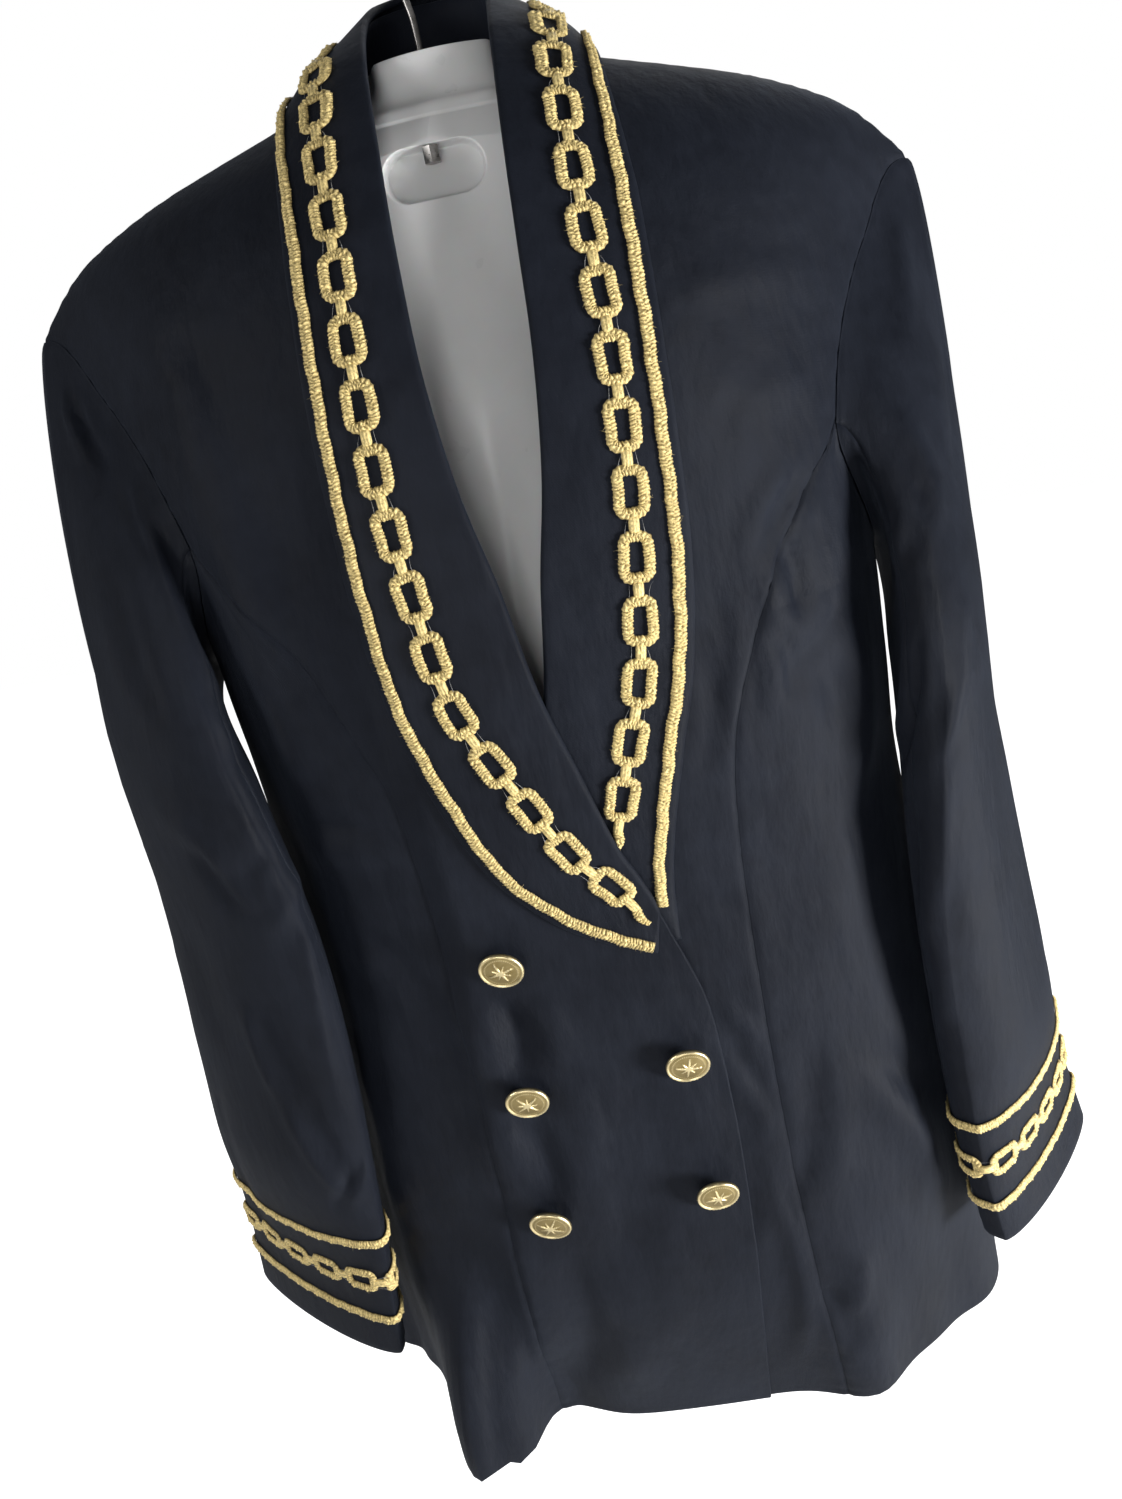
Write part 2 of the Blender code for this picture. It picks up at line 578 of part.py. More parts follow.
def on_grid(grid, normal, r, c, lift, closed):
    """Points at row r and column c of a grid, between its points, moved out by lift."""
    rows, columns = grid.shape[:2]
    r = np.clip(r, 0.0, rows - 1.0)
    r0 = np.minimum(r.astype(int), rows - 2)
    fr = (r - r0)[..., None]
    if closed:
        c = np.mod(c, columns)
        c0 = np.minimum(c.astype(int), columns - 1)
        c1 = (c0 + 1) % columns
    else:
        c = np.clip(c, 0.0, columns - 1.0)
        c0 = np.minimum(c.astype(int), columns - 2)
        c1 = c0 + 1
    fc = (c - c0)[..., None]

    def mixed(values):
        low = values[r0, c0] * (1 - fc) + values[r0, c1] * fc
        high = values[r0 + 1, c0] * (1 - fc) + values[r0 + 1, c1] * fc
        return low * (1 - fr) + high * fr

    return mixed(grid) + mixed(normal) * np.asarray(lift, float)[..., None]


def link_outline():
    """Half outlines of one chain link: (along, across) of its outer and inner corners."""
    half, wide = LINK_LENGTH / 2, LINK_WIDTH / 2
    outer = [(half, LINK_BAR), (half * 0.68, wide), (-half * 0.68, wide), (-half, LINK_BAR)]
    outer += [(x, -y) for x, y in reversed(outer)]
    in_half, in_wide = half - LINK_BAND, wide - LINK_BAND
    inner = [(in_half, in_wide * 0.55), (in_half * 0.6, in_wide), (-in_half * 0.6, in_wide), (-in_half, in_wide * 0.55)]
    inner += [(x, -y) for x, y in reversed(inner)]
    return np.array(outer), np.array(inner)


def chain_mesh(place, count, pitch, looped):
    """Points and faces of a chain. Place maps distance along, distance across and height to a point."""
    outer, inner = link_outline()
    n = len(outer)
    heights = (0.0, LINK_RISE)
    points, faces = [], []
    for k in range(count):
        for outline in (outer, inner):
            for height in heights:
                points.append(place(outline[:, 0] + (k + 0.5) * pitch, outline[:, 1], np.full(n, height)))
    points = np.concatenate(points)

    def quad(a, b, c, d):
        faces.append((a, b, c))
        faces.append((a, c, d))

    for k in range(count):
        base = k * 4 * n
        out_low, out_high, in_low, in_high = (base + i * n for i in range(4))
        for i in range(n):
            j = (i + 1) % n
            joined = (i == n - 1 and (looped or k < count - 1)) or (i == n // 2 - 1 and (looped or k > 0))
            if not joined:
                quad(out_low + i, out_low + j, out_high + j, out_high + i)
            quad(in_low + j, in_low + i, in_high + i, in_high + j)
            quad(out_high + i, out_high + j, in_high + j, in_high + i)
            quad(out_low + j, out_low + i, in_low + i, in_low + j)
        if looped or k < count - 1:
            after = ((k + 1) % count) * 4 * n
            a, b = base + n - 1, base
            c, d = after + n // 2 - 1, after + n // 2
            quad(a, b, c, d)
            quad(b + n, a + n, d + n, c + n)
            quad(b, b + n, c + n, c)
            quad(a + n, a, d, d + n)
    return points, faces


def add_chain(name, place, count, pitch, looped):
    points, faces = chain_mesh(place, count, pitch, looped)
    faces = facing_same_way(points, faces)
    return add_object(name, points, faces, "gold_braid")


def facing_same_way(points, faces):
    """The faces with their winding made consistent."""
    mesh = bmesh.new()
    corners = [mesh.verts.new(p) for p in points]
    for face in faces:
        mesh.faces.new([corners[i] for i in face])
    mesh.verts.index_update()
    bmesh.ops.recalc_face_normals(mesh, faces=mesh.faces)
    turned = [tuple(v.index for v in face.verts) for face in mesh.faces]
    mesh.free()
    return turned


def add_braid(name, low, high, closed):
    """A braid: four lines of points, two on the cloth and two on top, joined into a solid strip."""
    strip = np.stack([low[0], high[0], high[1], low[1]], axis=1)
    rows, columns = strip.shape[:2]
    faces = []
    for r in range(rows if closed else rows - 1):
        for c in range(columns):
            a, b = r * columns + c, r * columns + (c + 1) % columns
            d, e = (a + columns) % (rows * columns), (b + columns) % (rows * columns)
            faces += [(a, b, e), (a, e, d)]
    if not closed:
        faces += [(0, 2, 1), (0, 3, 2)]
        last = (rows - 1) * columns
        faces += [(last, last + 1, last + 2), (last, last + 2, last + 3)]
    faces = facing_same_way(strip.reshape(-1, 3), faces)
    return add_object(name, strip.reshape(-1, 3), faces, "gold_braid")


def add_sleeves():
    """Two-piece sleeves and the trims of their cuffs."""
    for name, side in (("right", 1), ("left", -1)):
        grid = sleeve_grid(side)
        rows, columns = grid.shape[:2]
        centre = grid.mean(axis=1, keepdims=True)
        normal = outward_grid(grid, True, centre)
        inner = grid - normal * WALL
        seams = (UNDER_SLEEVE, columns - UNDER_SLEEVE)
        for part, first, last in (("top", *seams), ("under", seams[1] - columns, seams[0])):
            index = np.arange(first, last + 1) % columns
            outer_part, inner_part = grid[:, index].copy(), inner[:, index].copy()
            # The two seams are parted by a gap, shared between the pieces
            for end, neighbour in ((0, 1), (-1, -2)):
                step = outer_part[:, neighbour] - outer_part[:, end]
                step *= 2 * SEAM_GAP / np.linalg.norm(step, axis=-1, keepdims=True)
                outer_part[:, end] += step
                inner_part[:, end] += step
            add_wall(f"sleeve_{name}_{part}", outer_part, inner_part)
        add_cuff_trims(name, grid, normal)


def add_cuff_trims(name, grid, normal):
    """Braid, chain and braid round one cuff, on the sleeve's own points."""
    rows, columns = grid.shape[:2]
    hem = grid[-1, :, 2].mean()
    heights = grid[:, :, 2].mean(axis=1)

    def row_at(height):
        return np.interp(-(hem + height), -heights, np.arange(rows))

    # The trims stand off a little more where the sleeve turns sharply, front and back
    a = 2 * math.pi * np.arange(columns) / columns
    turning = np.abs(np.sin(a)) ** 6

    def stand_off(c):
        return CUFF_OFF + 0.0010 * np.interp(np.mod(c, columns), np.arange(columns + 1), np.append(turning, turning[0]))

    column = np.arange(columns, dtype=float)
    for part, height in (("lower", CUFF_BRAID_LOW), ("upper", CUFF_BRAID_HIGH)):
        lines = []
        for rise, inset in ((0.0, 0.0), (BRAID_RISE, 0.0012)):
            for way in (-1, 1):
                r = np.full(columns, row_at(height + way * (BRAID_WIDTH / 2 - inset)))
                lines.append(on_grid(grid, normal, r, column, np.full(columns, LAYER_GAP + rise), True))
        add_braid(f"cuff_braid_{part}_{name}", lines[:2], lines[2:], True)

    middle = on_grid(grid, normal, np.full(columns, row_at(CUFF_CHAIN)), column, np.zeros(columns), True)
    steps = np.linalg.norm(np.roll(middle, -1, axis=0) - middle, axis=-1)
    along = np.append(0.0, np.cumsum(steps))
    pitch = along[-1] / CUFF_LINKS

    def place(distance, across, height):
        c = np.interp(np.mod(distance, along[-1]), along, np.arange(columns + 1.0))
        r = np.interp(-(hem + CUFF_CHAIN + across), -heights, np.arange(rows))
        return on_grid(grid, normal, r, c, height + stand_off(c), True)

    add_chain(f"cuff_chain_{name}", place, CUFF_LINKS, pitch, True)


def collar_front(place, side):
    """Outer points of a collar half on the front, at places along its table."""
    share = np.linspace(0.0, 1.0, COLLAR_COLUMNS + 1)
    table = COLLAR_FRONT.copy()
    if side < 0:
        table[:len(LEFT_EDGE), 2:] = LEFT_EDGE
    roll_x, roll_z, edge_x, edge_z = np.moveaxis(smooth_table(table, place), -1, 0)
    x = roll_x[:, None] + (edge_x - roll_x)[:, None] * share
    z = roll_z[:, None] + (edge_z - roll_z)[:, None] * share
    g = row_of(x, z)
    # The left half has no lap under it, so it lies closer
    lift = COLLAR_GAP + COLLAR_WALL + (lap_lift(x, z) if side > 0 else 0.0 * x)
    return lifted(side * angle_of(x, g), g, lift)


def mirrored(points):
    """Points on the other side of the garment's centre line at the neck."""
    return points * (-1.0, 1.0, 1.0) + (2 * SWAY[-1, 1], 0.0, 0.0)


def collar_grid(side):
    """Outer points of a collar half from its lower end, or where it shows, to the centre back."""
    last = len(COLLAR_FRONT) - 1.0
    front = collar_front(np.linspace(0.0, last, COLLAR_ROWS + 1), side)
    tail = collar_front(np.array([last - 1.0, last]), side)
    controls = list(tail if side > 0 else mirrored(tail))
    share = np.linspace(0.0, 1.0, COLLAR_COLUMNS + 1)[:, None]
    for roll_x, roll_y, roll_z, edge_x, edge_g, bulge in COLLAR_NECK:
        roll = np.array((roll_x + SWAY[-1, 1], roll_y, roll_z))
        edge = lifted(angle_of(-edge_x, edge_g), np.array(edge_g), np.array(EDGE_LIFT))
        out = (roll + edge) / 2 - (SWAY[-1, 1], 0.0, 0.0)
        out[2] = 0.4 * np.hypot(out[0], out[1])
        out /= np.linalg.norm(out)
        controls.append(roll + (edge - roll) * share + out * bulge * 4 * share * (1 - share))
    controls.append(mirrored(controls[-2]))
    neck = smooth_table(np.array(controls), np.linspace(1.0, len(controls) - 2.0, NECK_ROWS + 1)[1:])
    if side < 0:
        return np.concatenate([front[LEFT_COLLAR_START:], mirrored(neck)])
    return np.concatenate([front, neck])


def collar_normal(grid):
    """Outward normals of the collar."""
    normal = grid_normal(grid, False)
    if normal[5, 2, 1] > 0:
        normal = -normal
    return normal


def add_collar():
    """Both halves of the shawl collar, the chain and the braid on them, and the stand."""
    for name, side in (("right", 1), ("left", -1)):
        outer = collar_grid(side)
        normal = collar_normal(outer)
        inner = outer - normal * COLLAR_WALL
        outer[-1, :, 0] = inner[-1, :, 0] = SWAY[-1, 1] - side * SEAM_GAP / 2
        add_wall(f"collar_{name}", outer, inner)
        add_collar_trims(name, outer, normal)
    add_stand(collar_grid(1))


def add_collar_trims(name, grid, normal):
    """The chain along the middle of a collar half and the braid near its edge."""
    rows, columns = grid.shape[:2]
    width = np.linalg.norm(grid[:, -1] - grid[:, 0], axis=-1)
    row = np.arange(rows, dtype=float)
    edge_column = (columns - 1) * (1.0 - BRAID_INSET / width)
    per_column = width / (columns - 1)
    wanted = np.append(np.arange(BRAID_START[name], rows - 1.1, 0.5), rows - 1.004)
    lines = []
    for rise, inset in ((0.0, 0.0), (BRAID_RISE, 0.0012)):
        for way in (-1, 1):
            c = np.interp(wanted, row, edge_column + way * (BRAID_WIDTH / 2 - inset) / per_column)
            lines.append(on_grid(grid, normal, wanted, c, np.full(len(wanted), BRAID_OFF + rise), False))
    add_braid(f"collar_braid_{name}", lines[:2], lines[2:], False)

    middle = (columns - 1) * CHAIN_SHARE
    line = on_grid(grid, normal, row, np.full(rows, middle), np.zeros(rows), False)
    along = np.append(0.0, np.cumsum(np.linalg.norm(np.diff(line, axis=0), axis=-1)))
    first = CHAIN_START[name]
    room = along[-1] - first - 2 * SEAM_GAP
    count = int(room / CHAIN_PITCH)
    pitch = room / count

    def place(distance, across, height):
        d = first + distance
        r = np.interp(d, along, row)
        size = np.interp(r, row, per_column)
        return on_grid(grid, normal, r, middle + across / size, height + CHAIN_OFF, False)

    add_chain(f"collar_chain_{name}", place, count, pitch, False)


def add_stand(collar):
    """The stand of the collar: a band from the neck seam up inside the roll line, ear to ear."""
    normal = collar_normal(collar)
    roll = (collar - normal * (COLLAR_WALL + STAND_OFF))[-NECK_ROWS + 1:, 0]
    seam_x, seam_g = np.array(STAND_SEAM).T
    seam = lifted(-angle_of(seam_x, seam_g), seam_g, np.full(len(seam_g), -STAND_DEPTH))
    seam = smooth_table(seam, np.linspace(0.0, len(seam) - 1.0, len(roll)))
    top = roll + (seam - roll) * STAND_FALL
    half = top[:, None] + (seam - top)[:, None] * np.linspace(0.0, 1.0, 4)[None, :, None]
    grid = np.concatenate([half, mirrored(half[:-1][::-1])])
    normal = grid_normal(grid, False)
    if normal[len(grid) // 2, 1, 1] < 0:
        normal = -normal
    add_wall("under_collar", grid, grid - normal * WALL)


def inside_cloth(x, y, z):
    """Depths y of the form's points, kept between the front's cloth and the back's."""
    g = row_of(np.abs(x), np.full(len(x), z + FORM_ROOM))
    angle = angle_of(np.abs(x), g)
    front = np.minimum(loft(-angle, g)[..., 1] + 3 * FORM_ROOM, SHOULDER_SEAM_Y)
    behind = np.maximum(loft(-angle, 2.0 - g)[..., 1] - 3 * FORM_ROOM, SHOULDER_SEAM_Y)
    return np.clip(y, front, behind)


def add_form():
    """The smooth torso form: rings by height, closed above the neck and below the hips, with its recess."""
    a = 2 * math.pi * np.arange(FORM_SIDES) / FORM_SIDES
    points = []
    for z, wide, front, behind in FORM_SECTIONS:
        x = wide * np.sin(a)
        y = np.where(np.cos(a) > 0, -front, -behind) * np.cos(a)
        if z > FORM_FOLLOWS:
            y = inside_cloth(x, y, z)
        # The neck follows the collar's sway
        points += list(zip(x + SWAY[-1, 1] * smooth_step(z, -0.010, 0.012), y, np.full(len(x), z)))
    rings = len(FORM_SECTIONS)
    faces = []
    for r in range(rings - 1):
        for c in range(FORM_SIDES):
            a0, b0 = r * FORM_SIDES + c, r * FORM_SIDES + (c + 1) % FORM_SIDES
            faces.append((a0, b0, b0 + FORM_SIDES, a0 + FORM_SIDES))
    faces.append(tuple(reversed(range(FORM_SIDES))))
    faces.append(tuple((rings - 1) * FORM_SIDES + c for c in range(FORM_SIDES)))
    form = add_object("torso_form", points, faces, "white_plastic")
    cut = form.modifiers.new("recess", "BOOLEAN")
    cut.operation = "DIFFERENCE"
    cut.solver = "EXACT"
    cut.object = add_recess_cutter()


def form_front_y(z):
    """Front of the form on its centre line."""
    table = np.array(FORM_SECTIONS)
    return -np.interp(z, table[:, 0], table[:, 2])


def add_recess_cutter():
    """A stadium-shaped block that cuts the recess in the form's chest."""
    mesh = bmesh.new()
    run, radius = (RECESS_LENGTH - RECESS_HEIGHT) / 2, RECESS_HEIGHT / 2
    y = form_front_y(RECESS_Z)
    outline = []
    for middle, start in ((run, -90.0), (-run, 90.0)):
        for k in range(9):
            a = math.radians(start + 22.5 * k)
            outline.append((middle + radius * math.cos(a), y + RECESS_DEPTH, RECESS_Z + radius * math.sin(a)))
    bottom = mesh.faces.new([mesh.verts.new(p) for p in outline])
    grown = bmesh.ops.extrude_face_region(mesh, geom=[bottom])
    moved = [v for v in grown["geom"] if isinstance(v, bmesh.types.BMVert)]
    bmesh.ops.translate(mesh, verts=moved, vec=(0.0, -0.05, 0.0))
    bmesh.ops.recalc_face_normals(mesh, faces=mesh.faces)
    data = bpy.data.meshes.new("recess_cutter")
    mesh.to_mesh(data)
    mesh.free()
    cutter = bpy.data.objects.new("recess_cutter", data)
    cutter.location = (0.0, 0.0, -NECK_DROP)
    cutter.hide_render = True
    cutter.display_type = "WIRE"
    bpy.context.collection.objects.link(cutter)
    return cutter


def add_nut():
    """The nut of the hook's thread, which shows in the recess."""
    top = RECESS_Z + RECESS_HEIGHT / 2 - SEAM_GAP
    bpy.ops.mesh.primitive_cylinder_add(vertices=6, radius=0.0040, depth=0.0070)
    nut = bpy.context.object
    nut.name = "hook_nut"
    nut.location = (0.0, form_front_y(RECESS_Z) + RECESS_DEPTH - 0.0045, top - 0.0035 - NECK_DROP)
    nut.data.materials.append(material("steel_wire"))


def add_hook():
    """The wire hook: a stem out of the neck, bent to one side and round over the origin."""
    neck_top = FORM_SECTIONS[-1][0] + SEAM_GAP - NECK_DROP
    radius = 0.024
    centre_z = -radius
    path = [(0.0, neck_top), (0.0, neck_top + 0.012), (-0.003, neck_top + 0.022), (-0.012, neck_top + 0.034)]
    arc = radius + WIRE_RADIUS
    for angle in range(205, -60, -15):
        a = math.radians(angle)
        path.append((arc * math.cos(a), centre_z + arc * math.sin(a)))
    curve = bpy.data.curves.new("hanger_hook", "CURVE")
    curve.dimensions = "3D"
    curve.bevel_depth = WIRE_RADIUS
    curve.bevel_resolution = 2
    curve.use_fill_caps = True
    spline = curve.splines.new("POLY")
    spline.points.add(len(path) - 1)
    for point, (x, z) in zip(spline.points, path):
        point.co = (x, 0.0, z, 1.0)
    hook = bpy.data.objects.new("hanger_hook", curve)
    bpy.context.collection.objects.link(hook)
    curve.materials.append(material("steel_wire"))


def button_profile():
    """Radius and height of the turned button: shank, flat back, rolled rim and low dome."""
    r = BUTTON_RADIUS
    return [
        (0.0, 0.0), (0.0028, 0.0), (0.0028, 0.0040), (r - 0.0015, 0.0046), (r, 0.0060),
        (r - 0.0010, 0.0076), (r - 0.0030, 0.0068), (r - 0.0075, 0.0082), (0.0, 0.0086),
    ]


def add_buttons():
    """Shank buttons sewn to the fronts, each drooping a little under its own weight."""
    for number, (x, z) in enumerate(BUTTONS, 1):
        mesh = bmesh.new()
        line = [mesh.verts.new((radius, 0.0, height)) for radius, height in button_profile()]
        edges = [mesh.edges.new(pair) for pair in zip(line, line[1:])]
        bmesh.ops.spin(mesh, geom=line + edges, cent=(0, 0, 0), axis=(0, 0, 1), angle=2 * math.pi,
                       steps=BUTTON_STEPS)
        bmesh.ops.remove_doubles(mesh, verts=mesh.verts, dist=1e-5)
        bmesh.ops.recalc_face_normals(mesh, faces=mesh.faces)
        data = bpy.data.meshes.new(f"button_{number}")
        mesh.to_mesh(data)
        mesh.free()
        data.shade_smooth()
        data.set_sharp_from_angle(angle=math.radians(35))
        button = bpy.data.objects.new(f"button_{number}", data)
        g = row_of(np.array(x), np.array(z))
        angle = angle_of(np.array(x), g)
        lift = lap_lift(np.array(x), np.array(z)) + LAYER_GAP + 0.0009
        spot = lifted(angle, g, lift)
        normal = loft_normal(angle, g)
        heading = math.atan2(normal[1], normal[0])
        button.rotation_euler = (0.0, math.radians(90.0 + BUTTON_DROOP), heading)
        button.location = spot - np.array((0.0, 0.0, NECK_DROP))
        data.materials.append(material("antique_gold"))
        bpy.context.collection.objects.link(button)


def main():
    for old in list(bpy.data.objects):
        bpy.data.objects.remove(old, do_unlink=True)
    add_front_panels()
    add_back()
    add_sleeves()
    add_collar()
    add_form()
    add_nut()
    add_hook()
    add_buttons()


main()
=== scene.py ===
# %% [markdown]
# # A nautical blazer on a hanging form
# A blazer is a hollow shell of flat cloth pieces sewn edge to edge. We describe that shell once, as
# one smooth surface with two coordinates, and cut every panel, collar and trim out of it, so that
# all layers follow the same folds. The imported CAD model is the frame: its box is kept for later.

# %% Load the frame
import math

import bpy
import numpy as np
from mathutils import Euler, Matrix


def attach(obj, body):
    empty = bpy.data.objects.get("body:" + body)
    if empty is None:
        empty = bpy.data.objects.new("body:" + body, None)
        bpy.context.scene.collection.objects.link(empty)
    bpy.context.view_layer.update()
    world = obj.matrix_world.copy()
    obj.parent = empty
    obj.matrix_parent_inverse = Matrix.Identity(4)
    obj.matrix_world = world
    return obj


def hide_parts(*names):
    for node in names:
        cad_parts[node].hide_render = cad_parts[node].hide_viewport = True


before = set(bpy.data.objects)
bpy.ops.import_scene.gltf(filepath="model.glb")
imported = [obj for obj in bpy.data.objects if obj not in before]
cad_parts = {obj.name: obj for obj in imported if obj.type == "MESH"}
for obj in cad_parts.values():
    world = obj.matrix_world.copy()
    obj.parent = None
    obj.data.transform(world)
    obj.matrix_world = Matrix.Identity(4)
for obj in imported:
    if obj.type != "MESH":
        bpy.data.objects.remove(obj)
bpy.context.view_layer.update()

# %% [markdown]
# ## Tables of the body
# Heights are measured from the neck level, which hangs NECK_DROP under the hook's seat. A section of
# the body is a superellipse, between an ellipse and a rectangle, as a padded jacket has it.

# %% The body's sizes
NECK_DROP = 0.120
WALL = 0.0015
CHEST_Z, HEM_Z = -0.240, -0.719
SHOULDER_HALF, SHOULDER_SEAM_Y = 0.229, 0.004
SQUARENESS = 2.4


def mm(rows):
    """The rows as an array, from millimetres to metres."""
    return np.array(rows, float) / 1000


# height, half width, depth in front, depth behind
BODY_SECTIONS = mm([
    (-725, 207, 92, 104), (-620, 202, 112, 112), (-500, 191, 117, 108),
    (-370, 181, 113, 96), (-300, 178, 119, 98), (-240, 178, 118, 103)])
# distance from the centre, height of the shoulder seam
SHOULDER = mm([
    (0, 28), (58, 21.5), (71, 17.5), (95, 11), (116, 5), (140, -2), (158, -8.5), (180, -18),
    (198, -28.5), (215, -44), (229, -61)])
# height, distance that the centre line lies to the viewer's right
SWAY = mm([(-725, 10), (-620, 8), (-500, 7), (-350, 6), (-100, 6), (100, 6)])

# %% [markdown]
# A table is read between its rows on a Catmull-Rom curve, which passes through every row and has no
# corners. Smooth steps blend one shape into another.

# %% Reading tables
def smooth_step(value, start, end):
    """0 before start, 1 after end, and the cubic 3t^2 - 2t^3 between them."""
    t = np.clip((value - start) / (end - start), 0.0, 1.0)
    return t * t * (3.0 - 2.0 * t)


def smooth_table(table, at):
    """The table's rows at positions along it, each a cubic of its four nearest rows."""
    table = np.asarray(table, float)
    padded = np.concatenate([2 * table[:1] - table[1:2], table, 2 * table[-1:] - table[-2:-1]])
    at = np.clip(np.asarray(at, float), 0.0, len(table) - 1.0)
    first = np.minimum(at.astype(int), len(table) - 2)
    t = (at - first).reshape(at.shape + (1,) * (table.ndim - 1))
    p0, p1, p2, p3 = (padded[first + k] for k in range(4))
    return 0.5 * (2 * p1 + (p2 - p0) * t + (2 * p0 - 5 * p1 + 4 * p2 - p3) * t**2
                  + (3 * p1 - p0 - 3 * p2 + p3) * t**3)


def looked_up(table, value):
    """The table's other columns at values of its first one, smooth between its rows."""
    place = np.interp(np.asarray(value, float), table[:, 0], np.arange(len(table)))
    return smooth_table(table[:, 1:], place)


def unit(vectors):
    """The vectors divided by their lengths."""
    return vectors / np.maximum(np.linalg.norm(vectors, axis=-1, keepdims=True), 1e-12)


# %% [markdown]
# ## Folds and creases
# Cloth that hangs makes two kinds of relief. Loose folds start under the bust and widen to the hem:
# each is a bell round an angle that grows as it falls. Creases are short troughs and ridges where
# the cloth is pulled or was pressed: each is a bell round a line, with a softer counter wave beside
# it. Both are placed one by one from what a hanging jacket shows, and are uneven on purpose.

# %% Folds of the body
# angle across, half angles to its left and right, height where it starts, rise at the hem
FOLDS = ((-72, 12, 12, -0.340, -0.014), (-56, 8, 8, -0.340, -0.008), (-31.5, 9, 4.0, -0.560, 0.046),
         (-24.3, 4, 1.5, -0.610, 0.031), (-17, 4, 6, -0.560, -0.008), (25, 8, 8, -0.560, 0.017),
         (52, 10, 10, -0.500, -0.006))
BACK_FOLDS = ((-45, 10, 10, -0.460, 0.012), (-18, 9, 9, -0.500, -0.006), (12, 10, 10, -0.480, 0.010),
              (50, 10, 10, -0.500, 0.011))
# where a sleeve rests on the side: angle across, half angle, heights, depth
DENTS = ((-62, 20, -0.235, -0.335, 0.0080), (66, 20, -0.285, -0.345, 0.0032))
# x and height where a crease starts, and where it ends, half width, rise, all in millimetres
FRONT_CREASES = (
    (-151, -52, -134, -136, 16, 3.9), (-139, -135, -134, -227, 14, 3.6), (-135, -68, -117, -124, 9, -2.4),
    (-120, -125, -106, -204, 12, -2.4), (-137, -217, -133, -291, 12, 3.9), (-140, -312, -81, -317, 5, -1.5),
    (-147, -333, -82, -329, 7, 1.4), (-118, -377, -89, -415, 6, -1.8), (-130, -385, -101, -426, 8, 1.5),
    (-53, -408, -55, -461, 9, -4.5), (-60, -479, -50, -539, 10, -4.5), (-53, -562, -64, -686, 12, -3.6),
    (-77, -400, -79, -528, 13, 3.6), (-82, -542, -95, -690, 12, 3.3), (-35, -413, -27, -449, 8, 2.4),
    (-130, -516, -122, -637, 14, -2.7), (2, -451, -8, -594, 14, -2.1), (-36, -590, -33, -699, 13, 2.2),
    (-154, -448, -155, -574, 12, 2.4), (-34, -463, -20, -509, 9, 1.8), (97, -144, 150, -149, 7, 1.7),
    (99, -153, 127, -137, 6, -1.5), (92, -97, 159, -101, 8, 1.2), (115, -205, 141, -184, 6, -2.7),
    (103, -208, 134, -177, 7, 2.4), (122, -212, 125, -248, 5, -3.9), (108, -217, 106, -283, 7, 3.3),
    (110, -248, 116, -289, 5, -3.3), (148, -248, 119, -271, 6, -2.1), (132, -273, 144, -329, 8, -2.1),
    (96, -224, 82, -287, 6, 1.8), (79, -257, 65, -313, 6, -1.5), (151, -260, 143, -352, 10, 3.9),
    (129, -356, 111, -428, 14, 2.4), (98, -468, 80, -562, 7, -2.7), (108, -478, 90, -578, 12, 2.7),
    (108, -610, 93, -653, 7, 2.7), (83, -625, 94, -676, 6, -2.4), (137, -495, 188, -618, 10, -4.5),
    (123, -496, 168, -611, 10, 2.4), (39, -379, 76, -383, 5, -1.5), (57, -439, 72, -463, 4, 1.8),
    (55, -459, 70, -491, 4, -1.5), (55, -481, 71, -519, 5, 1.5), (65, -501, 52, -600, 8, 1.8),
    (66, -554, 64, -687, 6, 2.4), (-16, -478, -23, -592, 12, -2), (-2, -531, -8, -658, 12, 1.8),
    (-41, -554, -39, -667, 10, -1.5))
BACK_CREASES = (
    (-150, -210, -118, -300, 9, -1.5), (150, -215, 120, -310, 9, -1.6), (-60, -380, 40, -392, 9, 1.4),
    (-80, -410, 10, -418, 8, -1.2), (30, -396, 120, -410, 9, 1.1), (-100, -470, -112, -700, 14, 2.0),
    (-30, -520, -34, -715, 12, -1.8), (60, -500, 68, -715, 13, 2.0), (128, -440, 140, -690, 12, -1.8))


def creased(x, z, table):
    """How far creases push the cloth out. For each line: its rise, times a bell of the distance
    across it less a third of a wider bell beside it, faded in and out near its ends."""
    push = np.zeros(np.broadcast(x, z).shape)
    for row in table:
        x0, z0, x1, z1, width, rise = np.array(row) / 1000
        length = math.hypot(x1 - x0, z1 - z0)
        along = ((x - x0) * (x1 - x0) + (z - z0) * (z1 - z0)) / length**2
        bow = 0.06 * length * np.sin(math.pi * np.clip(along, 0, 1))
        across = ((x - x0) * (z1 - z0) - (z - z0) * (x1 - x0)) / length + bow
        fade = smooth_step(along, -0.12, 0.25) * (1 - smooth_step(along, 0.7, 1.1))
        bell = np.exp(-((across / width) ** 2))
        beside = np.exp(-(((across - 2 * width) / (1.4 * width)) ** 2))
        push += rise * fade * (bell - 0.33 * beside)
    return push


def body_push(angle, x, z, back):
    """Loose folds that grow towards the hem, less the dents of the sleeves, plus the creases."""
    push = np.zeros(np.broadcast(angle, z).shape)
    for centre, left, right, top, height in BACK_FOLDS if back else FOLDS:
        spread = np.where(angle < centre, left, right)
        push += height * np.exp(-(((angle - centre) / spread) ** 2)) * smooth_step(-z, -top, -HEM_Z)
    for centre, spread, top, full, depth in () if back else DENTS:
        push -= depth * np.exp(-(((angle - centre) / spread) ** 2)) * smooth_step(-z, -top, -full)
    return push + creased(x, z, BACK_CREASES if back else FRONT_CREASES)


print("creases:", len(FRONT_CREASES), "in front,", len(BACK_CREASES), "behind")


